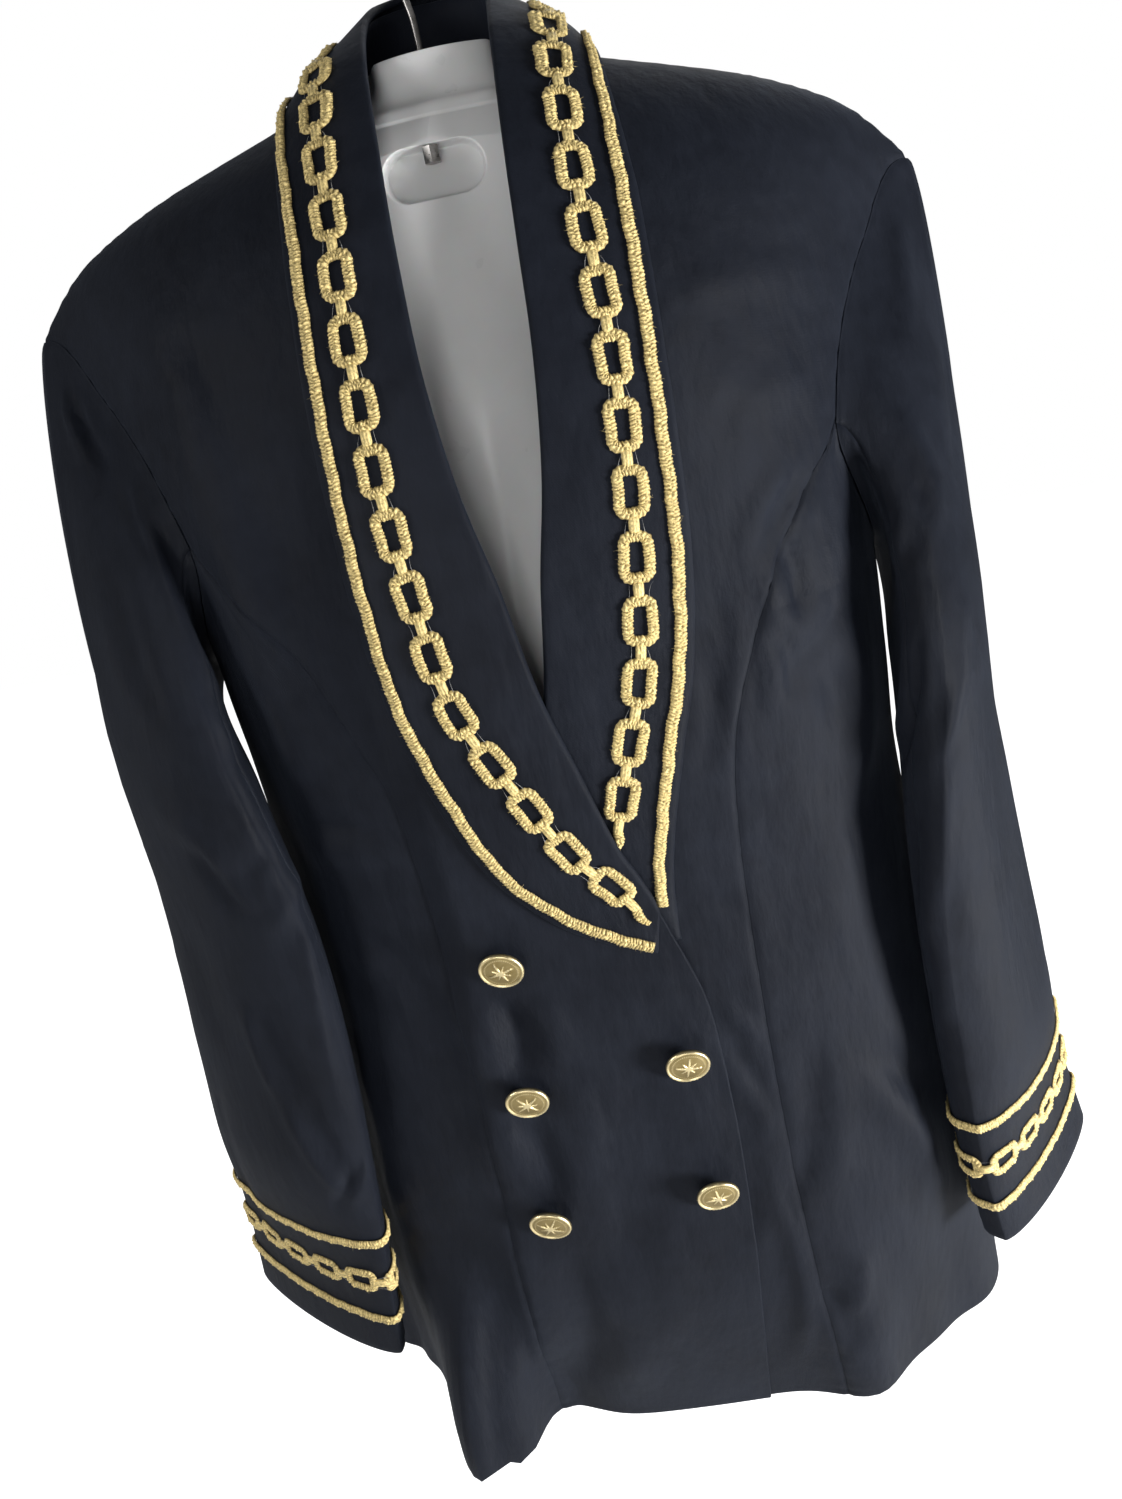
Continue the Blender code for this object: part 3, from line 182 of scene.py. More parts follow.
# %% [markdown]
# ## One surface for the whole body
# The crosswise coordinate is an angle, 0 at the centre and 90 degrees at the side seam. The
# lengthwise one, g, runs up the front to 0 at the chest line and 1 at the shoulder seam, then down
# the back to 2 and beyond. Under the chest the surface is a stack of superellipses. Above it each
# thread bends over to the shoulder seam on a quarter of an ellipse.

# %% The loft
def shoulder_z(x):
    """Height of the shoulder seam at a distance x from the centre."""
    return looked_up(SHOULDER, np.abs(x))[..., 0]


def sway(z):
    """How far the centre line lies to the viewer's right at height z."""
    return looked_up(SWAY, z)[..., 0]


def half_width(g):
    """Half width of the yoke's row g: the chest's, widening with g to the power 1.5."""
    chest = BODY_SECTIONS[-1, 1]
    return chest + (SHOULDER_HALF - chest) * np.clip(g, 0.0, 1.0) ** 1.5


def across_share(angle):
    """Share of the half width that an angle reaches: its sine to the power 2 / SQUARENESS."""
    return np.sin(np.radians(np.abs(angle))) ** (2 / SQUARENESS)


def loft(angle, g):
    """Points of the cloth body's outside at crosswise angles and lengthwise rows g."""
    angle, g = np.broadcast_arrays(np.asarray(angle, float), np.asarray(g, float))
    back = g > 1.0
    up = np.where(back, 2.0 - g, g)
    across = across_share(angle)
    deep = np.clip(np.cos(np.radians(np.abs(angle))), 0.0, 1.0) ** (2 / SQUARENESS)
    z_low = CHEST_Z + np.minimum(up, 0.0) * abs(CHEST_Z)
    width, front, behind = np.moveaxis(looked_up(BODY_SECTIONS, z_low), -1, 0)
    depth = np.where(back, behind, -front) * deep
    rise = np.radians(90.0 * np.clip(up, 0.0, 1.0))
    x = np.where(up > 0, half_width(up), width) * across
    top = shoulder_z(SHOULDER_HALF * across)
    y = np.where(up > 0, SHOULDER_SEAM_Y + (depth - SHOULDER_SEAM_Y) * np.cos(rise), depth)
    z = np.where(up > 0, CHEST_Z + (top - CHEST_Z) * np.sin(rise), z_low)
    signed = np.sign(angle) * x
    push = np.where(back, body_push(angle, signed, z, True), body_push(angle, signed, z, False))
    thick = np.maximum(np.abs(front), 0.01)
    outward = np.sqrt((across / width) ** 2 + (deep / thick) ** 2)
    x = x + push * (across / width) / outward
    y = y + push * np.where(back, 1, -1) * (deep / thick) / outward
    aside = sway(z) * (1.0 - smooth_step(z, -0.26, -0.10) * across**2)
    return np.stack([np.sign(angle) * x + aside, y, z], axis=-1)


def angle_of(x, g):
    """Signed angle of the loft at a signed distance x from the centre, on row g."""
    x, g = np.broadcast_arrays(np.asarray(x, float), np.asarray(g, float))
    up = np.where(g > 1.0, 2.0 - g, g)
    z_low = CHEST_Z + np.minimum(up, 0.0) * abs(CHEST_Z)
    width = np.where(up > 0, half_width(up), looked_up(BODY_SECTIONS, z_low)[..., 0])
    share = np.clip(np.abs(x) / width, 0.0, 1.0)
    return np.sign(x) * np.degrees(np.arcsin(share ** (SQUARENESS / 2)))


def row_of(x, z):
    """Row g of the front whose height is z at a distance x, found by repeated substitution."""
    x, z = np.broadcast_arrays(np.asarray(x, float), np.asarray(z, float))
    g = np.full(x.shape, 0.5)
    for _ in range(12):
        reach = SHOULDER_HALF * np.abs(x) / half_width(g)
        share = np.clip((z - CHEST_Z) / (shoulder_z(reach) - CHEST_Z), 0.0, 1.0)
        g = np.degrees(np.arcsin(share)) / 90.0
    return np.where(z > CHEST_Z, g, (z - CHEST_Z) / abs(CHEST_Z))


SEAM_UPRIGHT = 0.04                # rows beside the shoulder seam on which normals turn upright


def loft_normal(angle, g):
    """Outward normal of the loft: the cross product of a small step across and one along it."""
    angle, g = np.broadcast_arrays(np.asarray(angle, float), np.asarray(g, float))
    inside = np.clip(angle, -89.2, 89.2)
    across = loft(inside + 0.2, g) - loft(inside - 0.2, g)
    up_g = np.where(g <= 1.0, np.minimum(g + 0.002, 1.0), g + 0.002)
    down_g = np.where(g > 1.0, np.maximum(g - 0.002, 1.0 + 1e-6), g - 0.002)
    normal = np.cross(across, loft(inside, up_g) - loft(inside, down_g))
    normal[..., 1] *= np.clip(np.abs(g - 1.0) / SEAM_UPRIGHT, 0.0, 1.0)
    return unit(normal)


def lifted(angle, g, lift):
    """Points of the loft moved out along its normal."""
    return loft(angle, g) + loft_normal(angle, g) * np.asarray(lift, float)[..., None]


print("loft at the left chest:", loft(45.0, 0.0).round(4))

# %% [markdown]
# ## From grids to meshes
# Every piece below is a grid of points. A cloth piece is a closed thin shell: an outer grid, an
# inner one, and a rim between them that is pushed out by half the thickness, so that a cut edge
# looks turned under and catches a soft line of light. Round pieces are rings with a pole at each
# end. The sign of the enclosed volume tells which way the faces point.

# %% Mesh helpers
def facing_out(points, quads, tris=None):
    """The faces, all turned over if the volume they enclose is negative."""
    tris = np.zeros((0, 3), int) if tris is None else tris
    fans = np.concatenate([quads[:, :3], quads[:, [0, 2, 3]], tris])
    a, b, c = (points[fans[:, k]] for k in range(3))
    if np.einsum("ij,ij->", a, np.cross(b, c)) < 0:
        quads, tris = quads[:, ::-1], tris[:, ::-1]
    return quads, tris


def joined(parts):
    """Several (points, quads, tris, relief) as one set of arrays."""
    start, out = 0, [[], [], [], []]
    for points, quads, tris, relief in parts:
        for values, new in zip(out, (points, quads + start, tris + start, relief)):
            values.append(new)
        start += len(points)
    return [np.concatenate(values) for values in out]


def make_piece(name, points, quads, tris, finish, nodes=(), uv=None, relief=None):
    """A shaded mesh object under the hook, riding on the frame in place of its CAD nodes."""
    mesh = bpy.data.meshes.new(name)
    mesh.from_pydata((points - (0.0, 0.0, NECK_DROP)).tolist(), [], quads.tolist() + tris.tolist())
    mesh.shade_smooth()
    if uv is not None:
        corner = np.empty(len(mesh.loops), int)
        mesh.loops.foreach_get("vertex_index", corner)
        layer = mesh.uv_layers.new(name="UVMap")
        layer.data.foreach_set("uv", uv[corner].astype(np.float32).ravel())
    if relief is not None:
        mesh.attributes.new("relief", "FLOAT", "POINT").data.foreach_set("value", relief.astype(np.float32))
    mesh.materials.append(FINISHES[finish])
    piece = bpy.data.objects.new(name, mesh)
    bpy.context.collection.objects.link(piece)
    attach(piece, "root")
    if nodes:
        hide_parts(*nodes)
    print(f"{name}: {2 * len(quads) + len(tris)} triangles")
    return piece


def run(points, axis):
    """Distance along a grid's lines from its first one: the running sum of its steps."""
    step = np.linalg.norm(np.diff(points, axis=axis), axis=-1)
    start = np.zeros_like(np.take(step, [0], axis=axis))
    return np.concatenate([start, np.cumsum(step, axis=axis)], axis=axis)


def shell(outer, inner):
    """Points and quads of a closed shell with a rounded rim between two grids."""
    rows, columns = outer.shape[:2]
    index = np.arange(rows * columns).reshape(rows, columns)
    loop = np.concatenate([index[0, :-1], index[:-1, -1], index[-1, :0:-1], index[:0:-1, 0]])
    middle = (outer + inner) / 2
    out = np.zeros_like(middle)
    out[0] += unit(middle[0] - middle[1])
    out[-1] += unit(middle[-1] - middle[-2])
    out[:, 0] += unit(middle[:, 0] - middle[:, 1])
    out[:, -1] += unit(middle[:, -1] - middle[:, -2])
    half = np.linalg.norm(outer - inner, axis=-1, keepdims=True) / 2
    rim = (middle + unit(out) * half * 0.8).reshape(-1, 3)[loop]
    n, after = rows * columns, np.roll(loop, -1)
    on_rim = 2 * n + np.arange(len(loop))
    next_rim = np.roll(on_rim, -1)
    a, b, d, e = (index[r, c].ravel() for r, c in (
        (slice(0, -1), slice(0, -1)), (slice(0, -1), slice(1, None)),
        (slice(1, None), slice(0, -1)), (slice(1, None), slice(1, None))))
    quads = np.concatenate([
        np.stack([a, b, e, d], 1), np.stack([a, d, e, b], 1) + n,
        np.stack([after, loop, on_rim, next_rim], 1),
        np.stack([next_rim, on_rim, loop + n, after + n], 1)])
    points = np.concatenate([outer.reshape(-1, 3), inner.reshape(-1, 3), rim])
    return points, facing_out(points, quads)[0], loop


cuts = {}


def add_cloth(node, outer, inner, held, rests_on):
    """A cloth panel in place of its CAD node, with a UV map in metres along its threads. The size of
    its cut is the longest line across it, the longest along it, and the sum of its small areas."""
    points, quads, loop = shell(outer, inner)
    across, along = run(outer, 1), run(outer, 0)
    across = across - across[:, -1:] / 2
    flat = np.stack([across, along], -1).reshape(-1, 2)
    uv = np.concatenate([flat, flat, flat[loop]])
    piece = make_piece(f"{node}_cloth", points, quads, np.zeros((0, 3), int), "black_cloth", (node,), uv)
    one, two = outer[1:, 1:] - outer[:-1, :-1], outer[1:, :-1] - outer[:-1, 1:]
    area = np.linalg.norm(np.cross(one, two), axis=-1).sum() / 2
    width, length = np.ptp(across, axis=1).max(), along[-1].max()
    cuts[node] = (piece, width, length, min(area, width * length), held, rests_on)
    return piece


def round_faces(rows, columns):
    """Quads and pole triangles of rings of points between a first and a last pole."""
    r, c = np.meshgrid(np.arange(rows - 1), np.arange(columns), indexing="ij")
    a, b = (1 + r * columns + c).ravel(), (1 + r * columns + (c + 1) % columns).ravel()
    around = np.arange(columns)
    first, last = 1 + around, 1 + (rows - 1) * columns + around
    end = np.full(columns, 1 + rows * columns)
    tris = np.concatenate([
        np.stack([np.zeros(columns, int), 1 + (around + 1) % columns, first], 1),
        np.stack([end, last, 1 + (rows - 1) * columns + (around + 1) % columns], 1)])
    return np.stack([a, b, b + columns, a + columns], 1), tris


def rounded(rings, first, last, relief=None):
    """One closed round part: its points, faces and relief values."""
    rows, columns = rings.shape[:2]
    points = np.concatenate([[first], rings.reshape(-1, 3), [last]])
    quads, tris = facing_out(points, *round_faces(rows, columns))
    relief = np.full(len(points), 0.5) if relief is None else relief
    return points, quads, tris, relief


# %% [markdown]
# ## Finishes
# Three effects are used by more than one material, so each is a node group: a soft mottling, a
# thread pattern on the UV map, and dust. A group only puts out values. The shader, its sheen and
# its coat stay in the material.

# %% Node groups
FINISHES = {}


def node_group(name, inputs, outputs):
    """An empty shader node group with float or vector inputs and float outputs."""
    group = bpy.data.node_groups.new(name, "ShaderNodeTree")
    for label, default in inputs:
        kind = "NodeSocketVector" if default is None else "NodeSocketFloat"
        socket = group.interface.new_socket(label, in_out="INPUT", socket_type=kind)
        if default is not None:
            socket.default_value = default
    for label in outputs:
        group.interface.new_socket(label, in_out="OUTPUT", socket_type="NodeSocketFloat")
    start, end = group.nodes.new("NodeGroupInput"), group.nodes.new("NodeGroupOutput")
    return group, start, end


def math_node(tree, operation, one, two=None):
    """A Math node, its operands linked or set."""
    node = tree.nodes.new("ShaderNodeMath")
    node.operation = operation
    for socket, value in zip(node.inputs, (one, two)):
        if isinstance(value, bpy.types.NodeSocket):
            tree.links.new(value, socket)
        elif value is not None:
            socket.default_value = value
    return node.outputs[0]


def build_mottle():
    """Slow and quick noise, mixed two to one: the unevenness of dyed, moulded or cast surfaces."""
    group, start, end = node_group("soft_mottle", [("Vector", None), ("Scale", 20.0)], ["Value"])
    values = []
    for factor in (1.0, 6.0):
        noise = group.nodes.new("ShaderNodeTexNoise")
        noise.inputs["Detail"].default_value = 4.0
        group.links.new(start.outputs["Vector"], noise.inputs["Vector"])
        scale = math_node(group, "MULTIPLY", start.outputs["Scale"], factor)
        group.links.new(scale, noise.inputs["Scale"])
        values.append(noise.outputs["Fac"])
    slow = math_node(group, "MULTIPLY", values[0], 0.66)
    quick = math_node(group, "MULTIPLY", values[1], 0.34)
    group.links.new(math_node(group, "ADD", slow, quick), end.inputs["Value"])
    return group


def build_threads():
    """A fine twill: a sine wave on the diagonal of the UV map plus a weaker one along it, with slubs
    from noise. Pitch is the distance between threads in metres."""
    group, start, end = node_group(
        "woven_threads", [("UV", None), ("Pitch", 0.0006), ("Slub", 0.4)], ["Height"])
    split = group.nodes.new("ShaderNodeSeparateXYZ")
    group.links.new(start.outputs["UV"], split.inputs[0])
    rate = math_node(group, "DIVIDE", math.tau, start.outputs["Pitch"])
    diagonal = math_node(group, "ADD", split.outputs["X"], split.outputs["Y"])
    warp = math_node(group, "SINE", math_node(group, "MULTIPLY", diagonal, rate))
    weft = math_node(group, "SINE", math_node(group, "MULTIPLY", split.outputs["Y"], rate))
    noise = group.nodes.new("ShaderNodeTexNoise")
    noise.inputs["Scale"].default_value = 900.0
    noise.inputs["Detail"].default_value = 2.0
    group.links.new(start.outputs["UV"], noise.inputs["Vector"])
    slub = math_node(group, "MULTIPLY", noise.outputs["Fac"], start.outputs["Slub"])
    warp, weft = math_node(group, "MULTIPLY", warp, 0.35), math_node(group, "MULTIPLY", weft, 0.15)
    woven = math_node(group, "ADD", warp, weft)
    group.links.new(math_node(group, "ADD", woven, slub), end.inputs["Height"])
    return group


def build_dust():
    """Sparse specks: cells of a Voronoi pattern whose centre lies nearer than a small distance."""
    group, start, end = node_group(
        "fine_dust", [("Vector", None), ("Scale", 300.0), ("Size", 0.08)], ["Mask"])
    cells = group.nodes.new("ShaderNodeTexVoronoi")
    group.links.new(start.outputs["Vector"], cells.inputs["Vector"])
    group.links.new(start.outputs["Scale"], cells.inputs["Scale"])
    near = math_node(group, "LESS_THAN", cells.outputs["Distance"], start.outputs["Size"])
    split = group.nodes.new("ShaderNodeSeparateColor")
    group.links.new(cells.outputs["Color"], split.inputs[0])
    group.links.new(math_node(group, "MULTIPLY", near, split.outputs[0]), end.inputs["Mask"])
    return group


MOTTLE, THREADS, DUST = build_mottle(), build_threads(), build_dust()
print("node groups:", [g.name for g in (MOTTLE, THREADS, DUST)])

# %% [markdown]
# A finish is one Principled material. The frame already holds a plain material under each slot's
# name, so a finish gets a name of its own, and the pieces find it in FINISHES.

# %% Material helpers
def new_material(name, colour, roughness, metallic=0.0, **sockets):
    """A Principled material with its constant sockets set, kept as a finish: its tree and shader."""
    material = bpy.data.materials.new(f"{name}_finish")
    material.use_nodes = True
    FINISHES[name] = material
    shader = material.node_tree.nodes["Principled BSDF"]
    values = {"Base Color": (*colour, 1.0), "Roughness": roughness, "Metallic": metallic}
    values.update({key.replace("_", " "): value for key, value in sockets.items()})
    for socket, value in values.items():
        shader.inputs[socket].default_value = value
    return material.node_tree, shader


def placed(tree, group, **inputs):
    """A node group in a material, its inputs linked or set."""
    node = tree.nodes.new("ShaderNodeGroup")
    node.node_tree = group
    for label, value in inputs.items():
        if isinstance(value, bpy.types.NodeSocket):
            tree.links.new(value, node.inputs[label])
        else:
            node.inputs[label].default_value = value
    return node.outputs[0]


def mixed(tree, factor, low, high, blend="MIX"):
    """Two colours mixed by a factor. Each of the three is a constant or a socket."""
    node = tree.nodes.new("ShaderNodeMix")
    node.data_type, node.blend_type = "RGBA", blend
    for socket, value in zip((node.inputs[0], node.inputs[6], node.inputs[7]), (factor, low, high)):
        if isinstance(value, bpy.types.NodeSocket):
            tree.links.new(value, socket)
        else:
            socket.default_value = (*value, 1.0) if hasattr(value, "__len__") else value
    return node.outputs[2]


def between(tree, factor, low, high, start=0.0, end=1.0):
    """A colour or value that goes from low to high as the factor goes from start to end."""
    if hasattr(low, "__len__"):
        return mixed(tree, between(tree, factor, 0.0, 1.0, start, end), low, high)
    node = tree.nodes.new("ShaderNodeMapRange")
    for label, value in (("From Min", start), ("From Max", end), ("To Min", low), ("To Max", high)):
        node.inputs[label].default_value = value
    tree.links.new(factor, node.inputs["Value"])
    return node.outputs["Result"]


def coordinate(tree, kind="Object"):
    """A material's texture coordinate of one kind."""
    return tree.nodes.new("ShaderNodeTexCoord").outputs[kind]


def mottled(tree, scale):
    """Soft mottling of that many waves to the metre."""
    return placed(tree, MOTTLE, Vector=coordinate(tree), Scale=scale)


def weighed(tree, *pairs):
    """The sum of values, each times its weight."""
    total = None
    for value, weight in pairs:
        part = math_node(tree, "MULTIPLY", value, weight)
        total = part if total is None else math_node(tree, "ADD", total, part)
    return total


def relief_shade_and_wear(tree):
    """The mesh's own relief, 0 in its furrows and 1 on its crests. On the braid it paints shade
    into the furrows, on the buttons it gives tarnish and wear.
    """
    node = tree.nodes.new("ShaderNodeAttribute")
    node.attribute_name = "relief"
    return node.outputs["Fac"]


def feed(tree, shader, colour, roughness):
    """Links a colour, if there is one, and a roughness to the shader."""
    if colour is not None:
        tree.links.new(colour, shader.inputs["Base Color"])
    tree.links.new(roughness, shader.inputs["Roughness"])


def bumped(tree, shader, height, strength, distance, under=None):
    """Feeds a height to the shader's normal, on top of another bump if one is given."""
    node = tree.nodes.new("ShaderNodeBump")
    node.inputs["Strength"].default_value = strength
    node.inputs["Distance"].default_value = distance
    tree.links.new(height, node.inputs["Height"])
    if under is not None:
        tree.links.new(under, node.inputs["Normal"])
    tree.links.new(node.outputs["Normal"], shader.inputs["Normal"])
    return node.outputs["Normal"]


# %% [markdown]
# The cloth is a fine, tightly woven black with a blue cast. What makes it read as cloth is sheen:
# its short fibres catch light at grazing angles, so folds show as soft grey-blue bands. Under the
# threads lies a slow bump, drawn out downwards, for the ripples too small to be worth a fold.

# %% Cloth
tree, shader = new_material(
    "black_cloth", (0.006, 0.0072, 0.011), 0.52, Sheen_Weight=0.06, Sheen_Roughness=0.35,
    Sheen_Tint=(0.60, 0.70, 0.90, 1.0), Specular_IOR_Level=0.09)
woven = placed(tree, THREADS, UV=coordinate(tree, "UV"), Pitch=0.0007, Slub=0.5)
uneven = mottled(tree, 18.0)
lint = placed(tree, DUST, Vector=coordinate(tree), Scale=260.0, Size=0.055)
ground = between(tree, uneven, (0.0075, 0.0090, 0.0138), (0.0140, 0.0168, 0.0250), 0.3, 0.7)
shade = between(tree, woven, (0.55, 0.55, 0.6), (1.25, 1.25, 1.2), -0.3, 0.9)
threaded = mixed(tree, 0.35, ground, shade, "MULTIPLY")
specked = mixed(tree, math_node(tree, "MULTIPLY", lint, 0.12), threaded, (0.16, 0.16, 0.17))
feed(tree, shader, specked, between(tree, uneven, 0.46, 0.58, 0.3, 0.7))
hang = tree.nodes.new("ShaderNodeVectorMath")
hang.operation = "MULTIPLY"
hang.inputs[1].default_value = (1.0, 1.0, 0.4)
tree.links.new(coordinate(tree), hang.inputs[0])
ripples = placed(tree, MOTTLE, Vector=hang.outputs[0], Scale=15.0)
slow = bumped(tree, shader, ripples, 0.45, 0.008)
bumped(tree, shader, woven, 0.35, 0.0003, slow)

# %% [markdown]
# The trims are plaited from metal-wrapped thread. Their relief is real geometry, and each mesh
# carries it as an attribute, 0 in the furrows and 1 on the crests, which paints shade into the
# furrows. A fine speckle paints glints and shade of single threads. The buttons are cast brass with
# the same idea: tarnish stays low, and high spots are rubbed pale.

# %% Gold thread and antique gold
tree, shader = new_material("gold_braid", (0.90, 0.70, 0.26), 0.42, 0.20, Sheen_Weight=0.1)
# Painted glints and shade of single threads: a fine speckle, which also sets roughness and bump.
glint_speckle = between(tree, mottled(tree, 760.0), 0.0, 1.0, 0.40, 0.60)
# Painted shade in the furrows from the relief, plus a slow uneven tone.
shade_glint_and_tone = weighed(tree, (relief_shade_and_wear(tree), 0.52), (glint_speckle, 0.42), (mottled(tree, 120.0), 0.2))
colour = between(tree, shade_glint_and_tone, (0.16, 0.100, 0.016), (1.0, 0.79, 0.34), 0.12, 0.80)
feed(tree, shader, colour, between(tree, glint_speckle, 0.30, 0.60))
bumped(tree, shader, glint_speckle, 0.5, 0.0003)

tree, shader = new_material("antique_gold", (0.68, 0.56, 0.32), 0.34, 1.0)
uneven = mottled(tree, 220.0)
rubbed = weighed(tree, (relief_shade_and_wear(tree), 0.8), (uneven, 0.35))
colour = between(tree, rubbed, (0.30, 0.22, 0.08), (1.0, 0.84, 0.48), 0.12, 0.85)
feed(tree, shader, colour, between(tree, uneven, 0.26, 0.46, 0.3, 0.7))
bumped(tree, shader, uneven, 0.12, 0.0002)

# %% [markdown]
# The form is glossy moulded plastic, a little wavy and dusty. The hook is drawn steel wire with
# a fine uneven bump. The clear threads tie the chain's links to each other on its backing.

# %% Plastic, wire and clear thread
tree, shader = new_material(
    "white_plastic", (0.86, 0.86, 0.85), 0.3, Coat_Weight=0.25, Coat_Roughness=0.15,
    Subsurface_Weight=0.08, Subsurface_Scale=0.004)
uneven = mottled(tree, 14.0)
dust = placed(tree, DUST, Vector=coordinate(tree), Scale=420.0, Size=0.04)
clean = between(tree, uneven, (0.76, 0.76, 0.755), (0.82, 0.82, 0.815), 0.3, 0.7)
dusty = mixed(tree, math_node(tree, "MULTIPLY", dust, 0.35), clean, (0.55, 0.54, 0.52))
feed(tree, shader, dusty, between(tree, uneven, 0.24, 0.38, 0.3, 0.7))
bumped(tree, shader, uneven, 0.15, 0.001)

tree, shader = new_material("steel_wire", (0.5, 0.48, 0.46), 0.3, 1.0)
uneven = mottled(tree, 260.0)
colour = between(tree, uneven, (0.14, 0.13, 0.12), (0.40, 0.385, 0.37), 0.3, 0.7)
feed(tree, shader, colour, between(tree, uneven, 0.22, 0.42, 0.3, 0.7))
bumped(tree, shader, uneven, 0.2, 0.0002)

tree, shader = new_material(
    "clear_thread", (0.80, 0.80, 0.78), 0.25, Transmission_Weight=0.5, IOR=1.5)
feed(tree, shader, None, between(tree, mottled(tree, 300.0), 0.15, 0.4, 0.3, 0.7))
print("finishes:", sorted(FINISHES))

# %% [markdown]
# ## The edges of the panels
# Seams are curves on the loft: the armhole, the princess seam from the armhole to the hem, and the
# front edge with the roll line of the collar above it. Each is a table of heights and distances,
# turned into angles so that neighbouring panels share exactly the same curve.

# %% Seam curves
SEAM_GAP = 0.00012
LAYER_GAP, COLLAR_GAP, COLLAR_WALL = 0.0004, 0.0011, 0.0018
NECK_X, NECK_SCOOP = 0.060, 0.32
PRINCESS_RISE = 0.215              # height over the chest line that the princess seam's rows span
# rows where the princess seam's table ends, and where the seam meets the armhole
TIP_ROW, MEET_ROW = 0.19, 0.235
# row g, angle of the armhole
ARMHOLE = np.array([
    (0.0, 90.0), (0.05, 77.0), (0.11, 67.0), (0.195, 57.8), (0.28, 58.5), (0.37, 61.5), (0.49, 67.0),
    (0.61, 72.5), (0.74, 74.5), (0.87, 75.5), (1.0, 77.0)])
# height, distance of the princess seam from the centre
PRINCESS = mm([
    (-725, 86), (-600, 81), (-480, 77.5), (-370, 78.5), (-318, 81.2), (-288, 86.8), (-255, 99),
    (-230, 110), (-205, 128), (-190, 140), (-172, 156)])
# height, distance of the right front's edge, and above it of the roll line
FRONT_EDGE = mm([
    (-725, 42), (-650, 47), (-580, 51.5), (-510, 53), (-460, 51.5), (-428, 48.5), (-398, 40.5), (-372, 32),
    (-346, 22.8), (-318, 14), (-285, 5.5), (-250, -3.5), (-205, -11.2), (-160, -20.5), (-110, -26.2),
    (-60, -28), (-30, -32), (-8, -40), (21.5, -60)])


def row_height(g, rise):
    """Height of row g along a seam that rises that far above the chest line."""
    return CHEST_Z + np.where(g < 0, g * abs(CHEST_Z), rise * np.sin(np.radians(90 * np.clip(g, 0, 1))))


def armhole_angle(g):
    """Angle of the armhole on row g of the front or back, or of the side seam under the chest."""
    up = np.where(np.asarray(g) > 1.0, 2.0 - np.asarray(g), g)
    return np.where(up <= 0, 90.0, looked_up(ARMHOLE, np.clip(up, 0, 1))[..., 0])


def seam_angle(g):
    """Angle of the princess seam on row g. Past TIP_ROW it runs straight into the armhole."""
    below = np.minimum(g, TIP_ROW)
    low = angle_of(looked_up(PRINCESS, row_height(below, PRINCESS_RISE))[..., 0], below)
    t = np.clip((g - TIP_ROW) / (MEET_ROW - TIP_ROW), 0, 1)
    return low + (armhole_angle(MEET_ROW) - low) * t


def edge_angle(g):
    """Signed angle of the right front's inner edge on row g."""
    return angle_of(looked_up(FRONT_EDGE, row_height(g, shoulder_z(NECK_X) - CHEST_Z))[..., 0], g)


def lap_lift(x, z):
    """How far the right front stands off the loft, to lie over the left front and its collar. It
    rises by a smooth step in height where the collar crosses, and fades out by one in x."""
    over_lap = LAYER_GAP + WALL
    over_collar = COLLAR_GAP + COLLAR_WALL + COLLAR_GAP + WALL
    crossing = smooth_step(z, -0.465, -0.420) * (1.0 - smooth_step(z, -0.25, -0.20))
    return (over_lap + (over_collar - over_lap) * crossing) * smooth_step(x, -0.085, -0.062)


print(f"the princess seam meets the armhole at {seam_angle(MEET_ROW):.1f} degrees")

# %% [markdown]
# ## Seams that pull
# A sewn seam draws the cloth in: a narrow furrow along the stitches, and small puckers beside them
# where the thread is tighter than the cloth. The furrow is a bell of the distance to the edge, and
# the puckers are a wave along the edge inside a wider bell.

# %% Panels of the body
PUCKER_PITCH = 0.0105


def seam_relief(points, edges, furrow=0.0007, pucker=0.00022):
    """Height of the furrow and puckers beside chosen edges: "left", "right", "low" or "top"."""
    across, along = run(points, 1), run(points, 0)
    relief = np.zeros(points.shape[:2])
    for edge in edges:
        away = {"left": across, "right": across[:, -1:] - across,
                "low": along, "top": along[-1:] - along}[edge]
        beside = along if edge in ("left", "right") else across
        stray = 2.0 * np.sin(83 * beside) + 1.3 * np.sin(211 * beside)
        wave = np.sin(math.tau * beside / PUCKER_PITCH + stray)
        relief += -furrow * np.exp(-((away / 0.0019) ** 2))
        relief += pucker * wave * np.exp(-((away / 0.0075) ** 2))
    return relief


def shares(count, tight=0.004):
    """Shares from 0 to 1, evenly spread but with close lines at both ends for the seams."""
    near = tight * np.array([0.0, 1.0, 2.2, 3.7, 5.6, 8.0, 11.0])
    return np.concatenate([near, np.linspace(near[-1], 1 - near[-1], count)[1:-1], 1 - near[::-1]])


def parted(angle, g, towards):
    """The angle moved by half a seam gap along its row, towards +1 or -1."""
    inside = np.clip(angle, -89.9, 89.9)
    rate = np.linalg.norm(loft(inside + 0.05, g) - loft(inside - 0.05, g), axis=-1) / 0.1
    return angle + towards * (SEAM_GAP / 2) / rate


def row_gap(angle, way):
    """Rows from the shoulder seam to a cut edge, so that a seam gap parts it from its neighbour."""
    step = np.linalg.norm(loft(angle, 1 + way * 0.004) - loft(angle, 1 + way * 1e-6), axis=-1) / 0.004
    return way * SEAM_GAP / step


def body_rows(top):
    """Rows g from the hem up to a top row, closer at both ends."""
    hem = (HEM_Z - CHEST_Z) / abs(CHEST_Z)
    return hem + (top - hem) * shares(150, 0.0013)


def add_panel(node, angle, rows, lift, edges, rests_on):
    """A panel of the loft between a grid of angles and rows."""
    relief = seam_relief(lifted(angle, rows, lift), edges)
    outer, inner = lifted(angle, rows, lift + relief), lifted(angle, rows, lift - WALL)
    return add_cloth(node, outer, inner, "hung", rests_on)


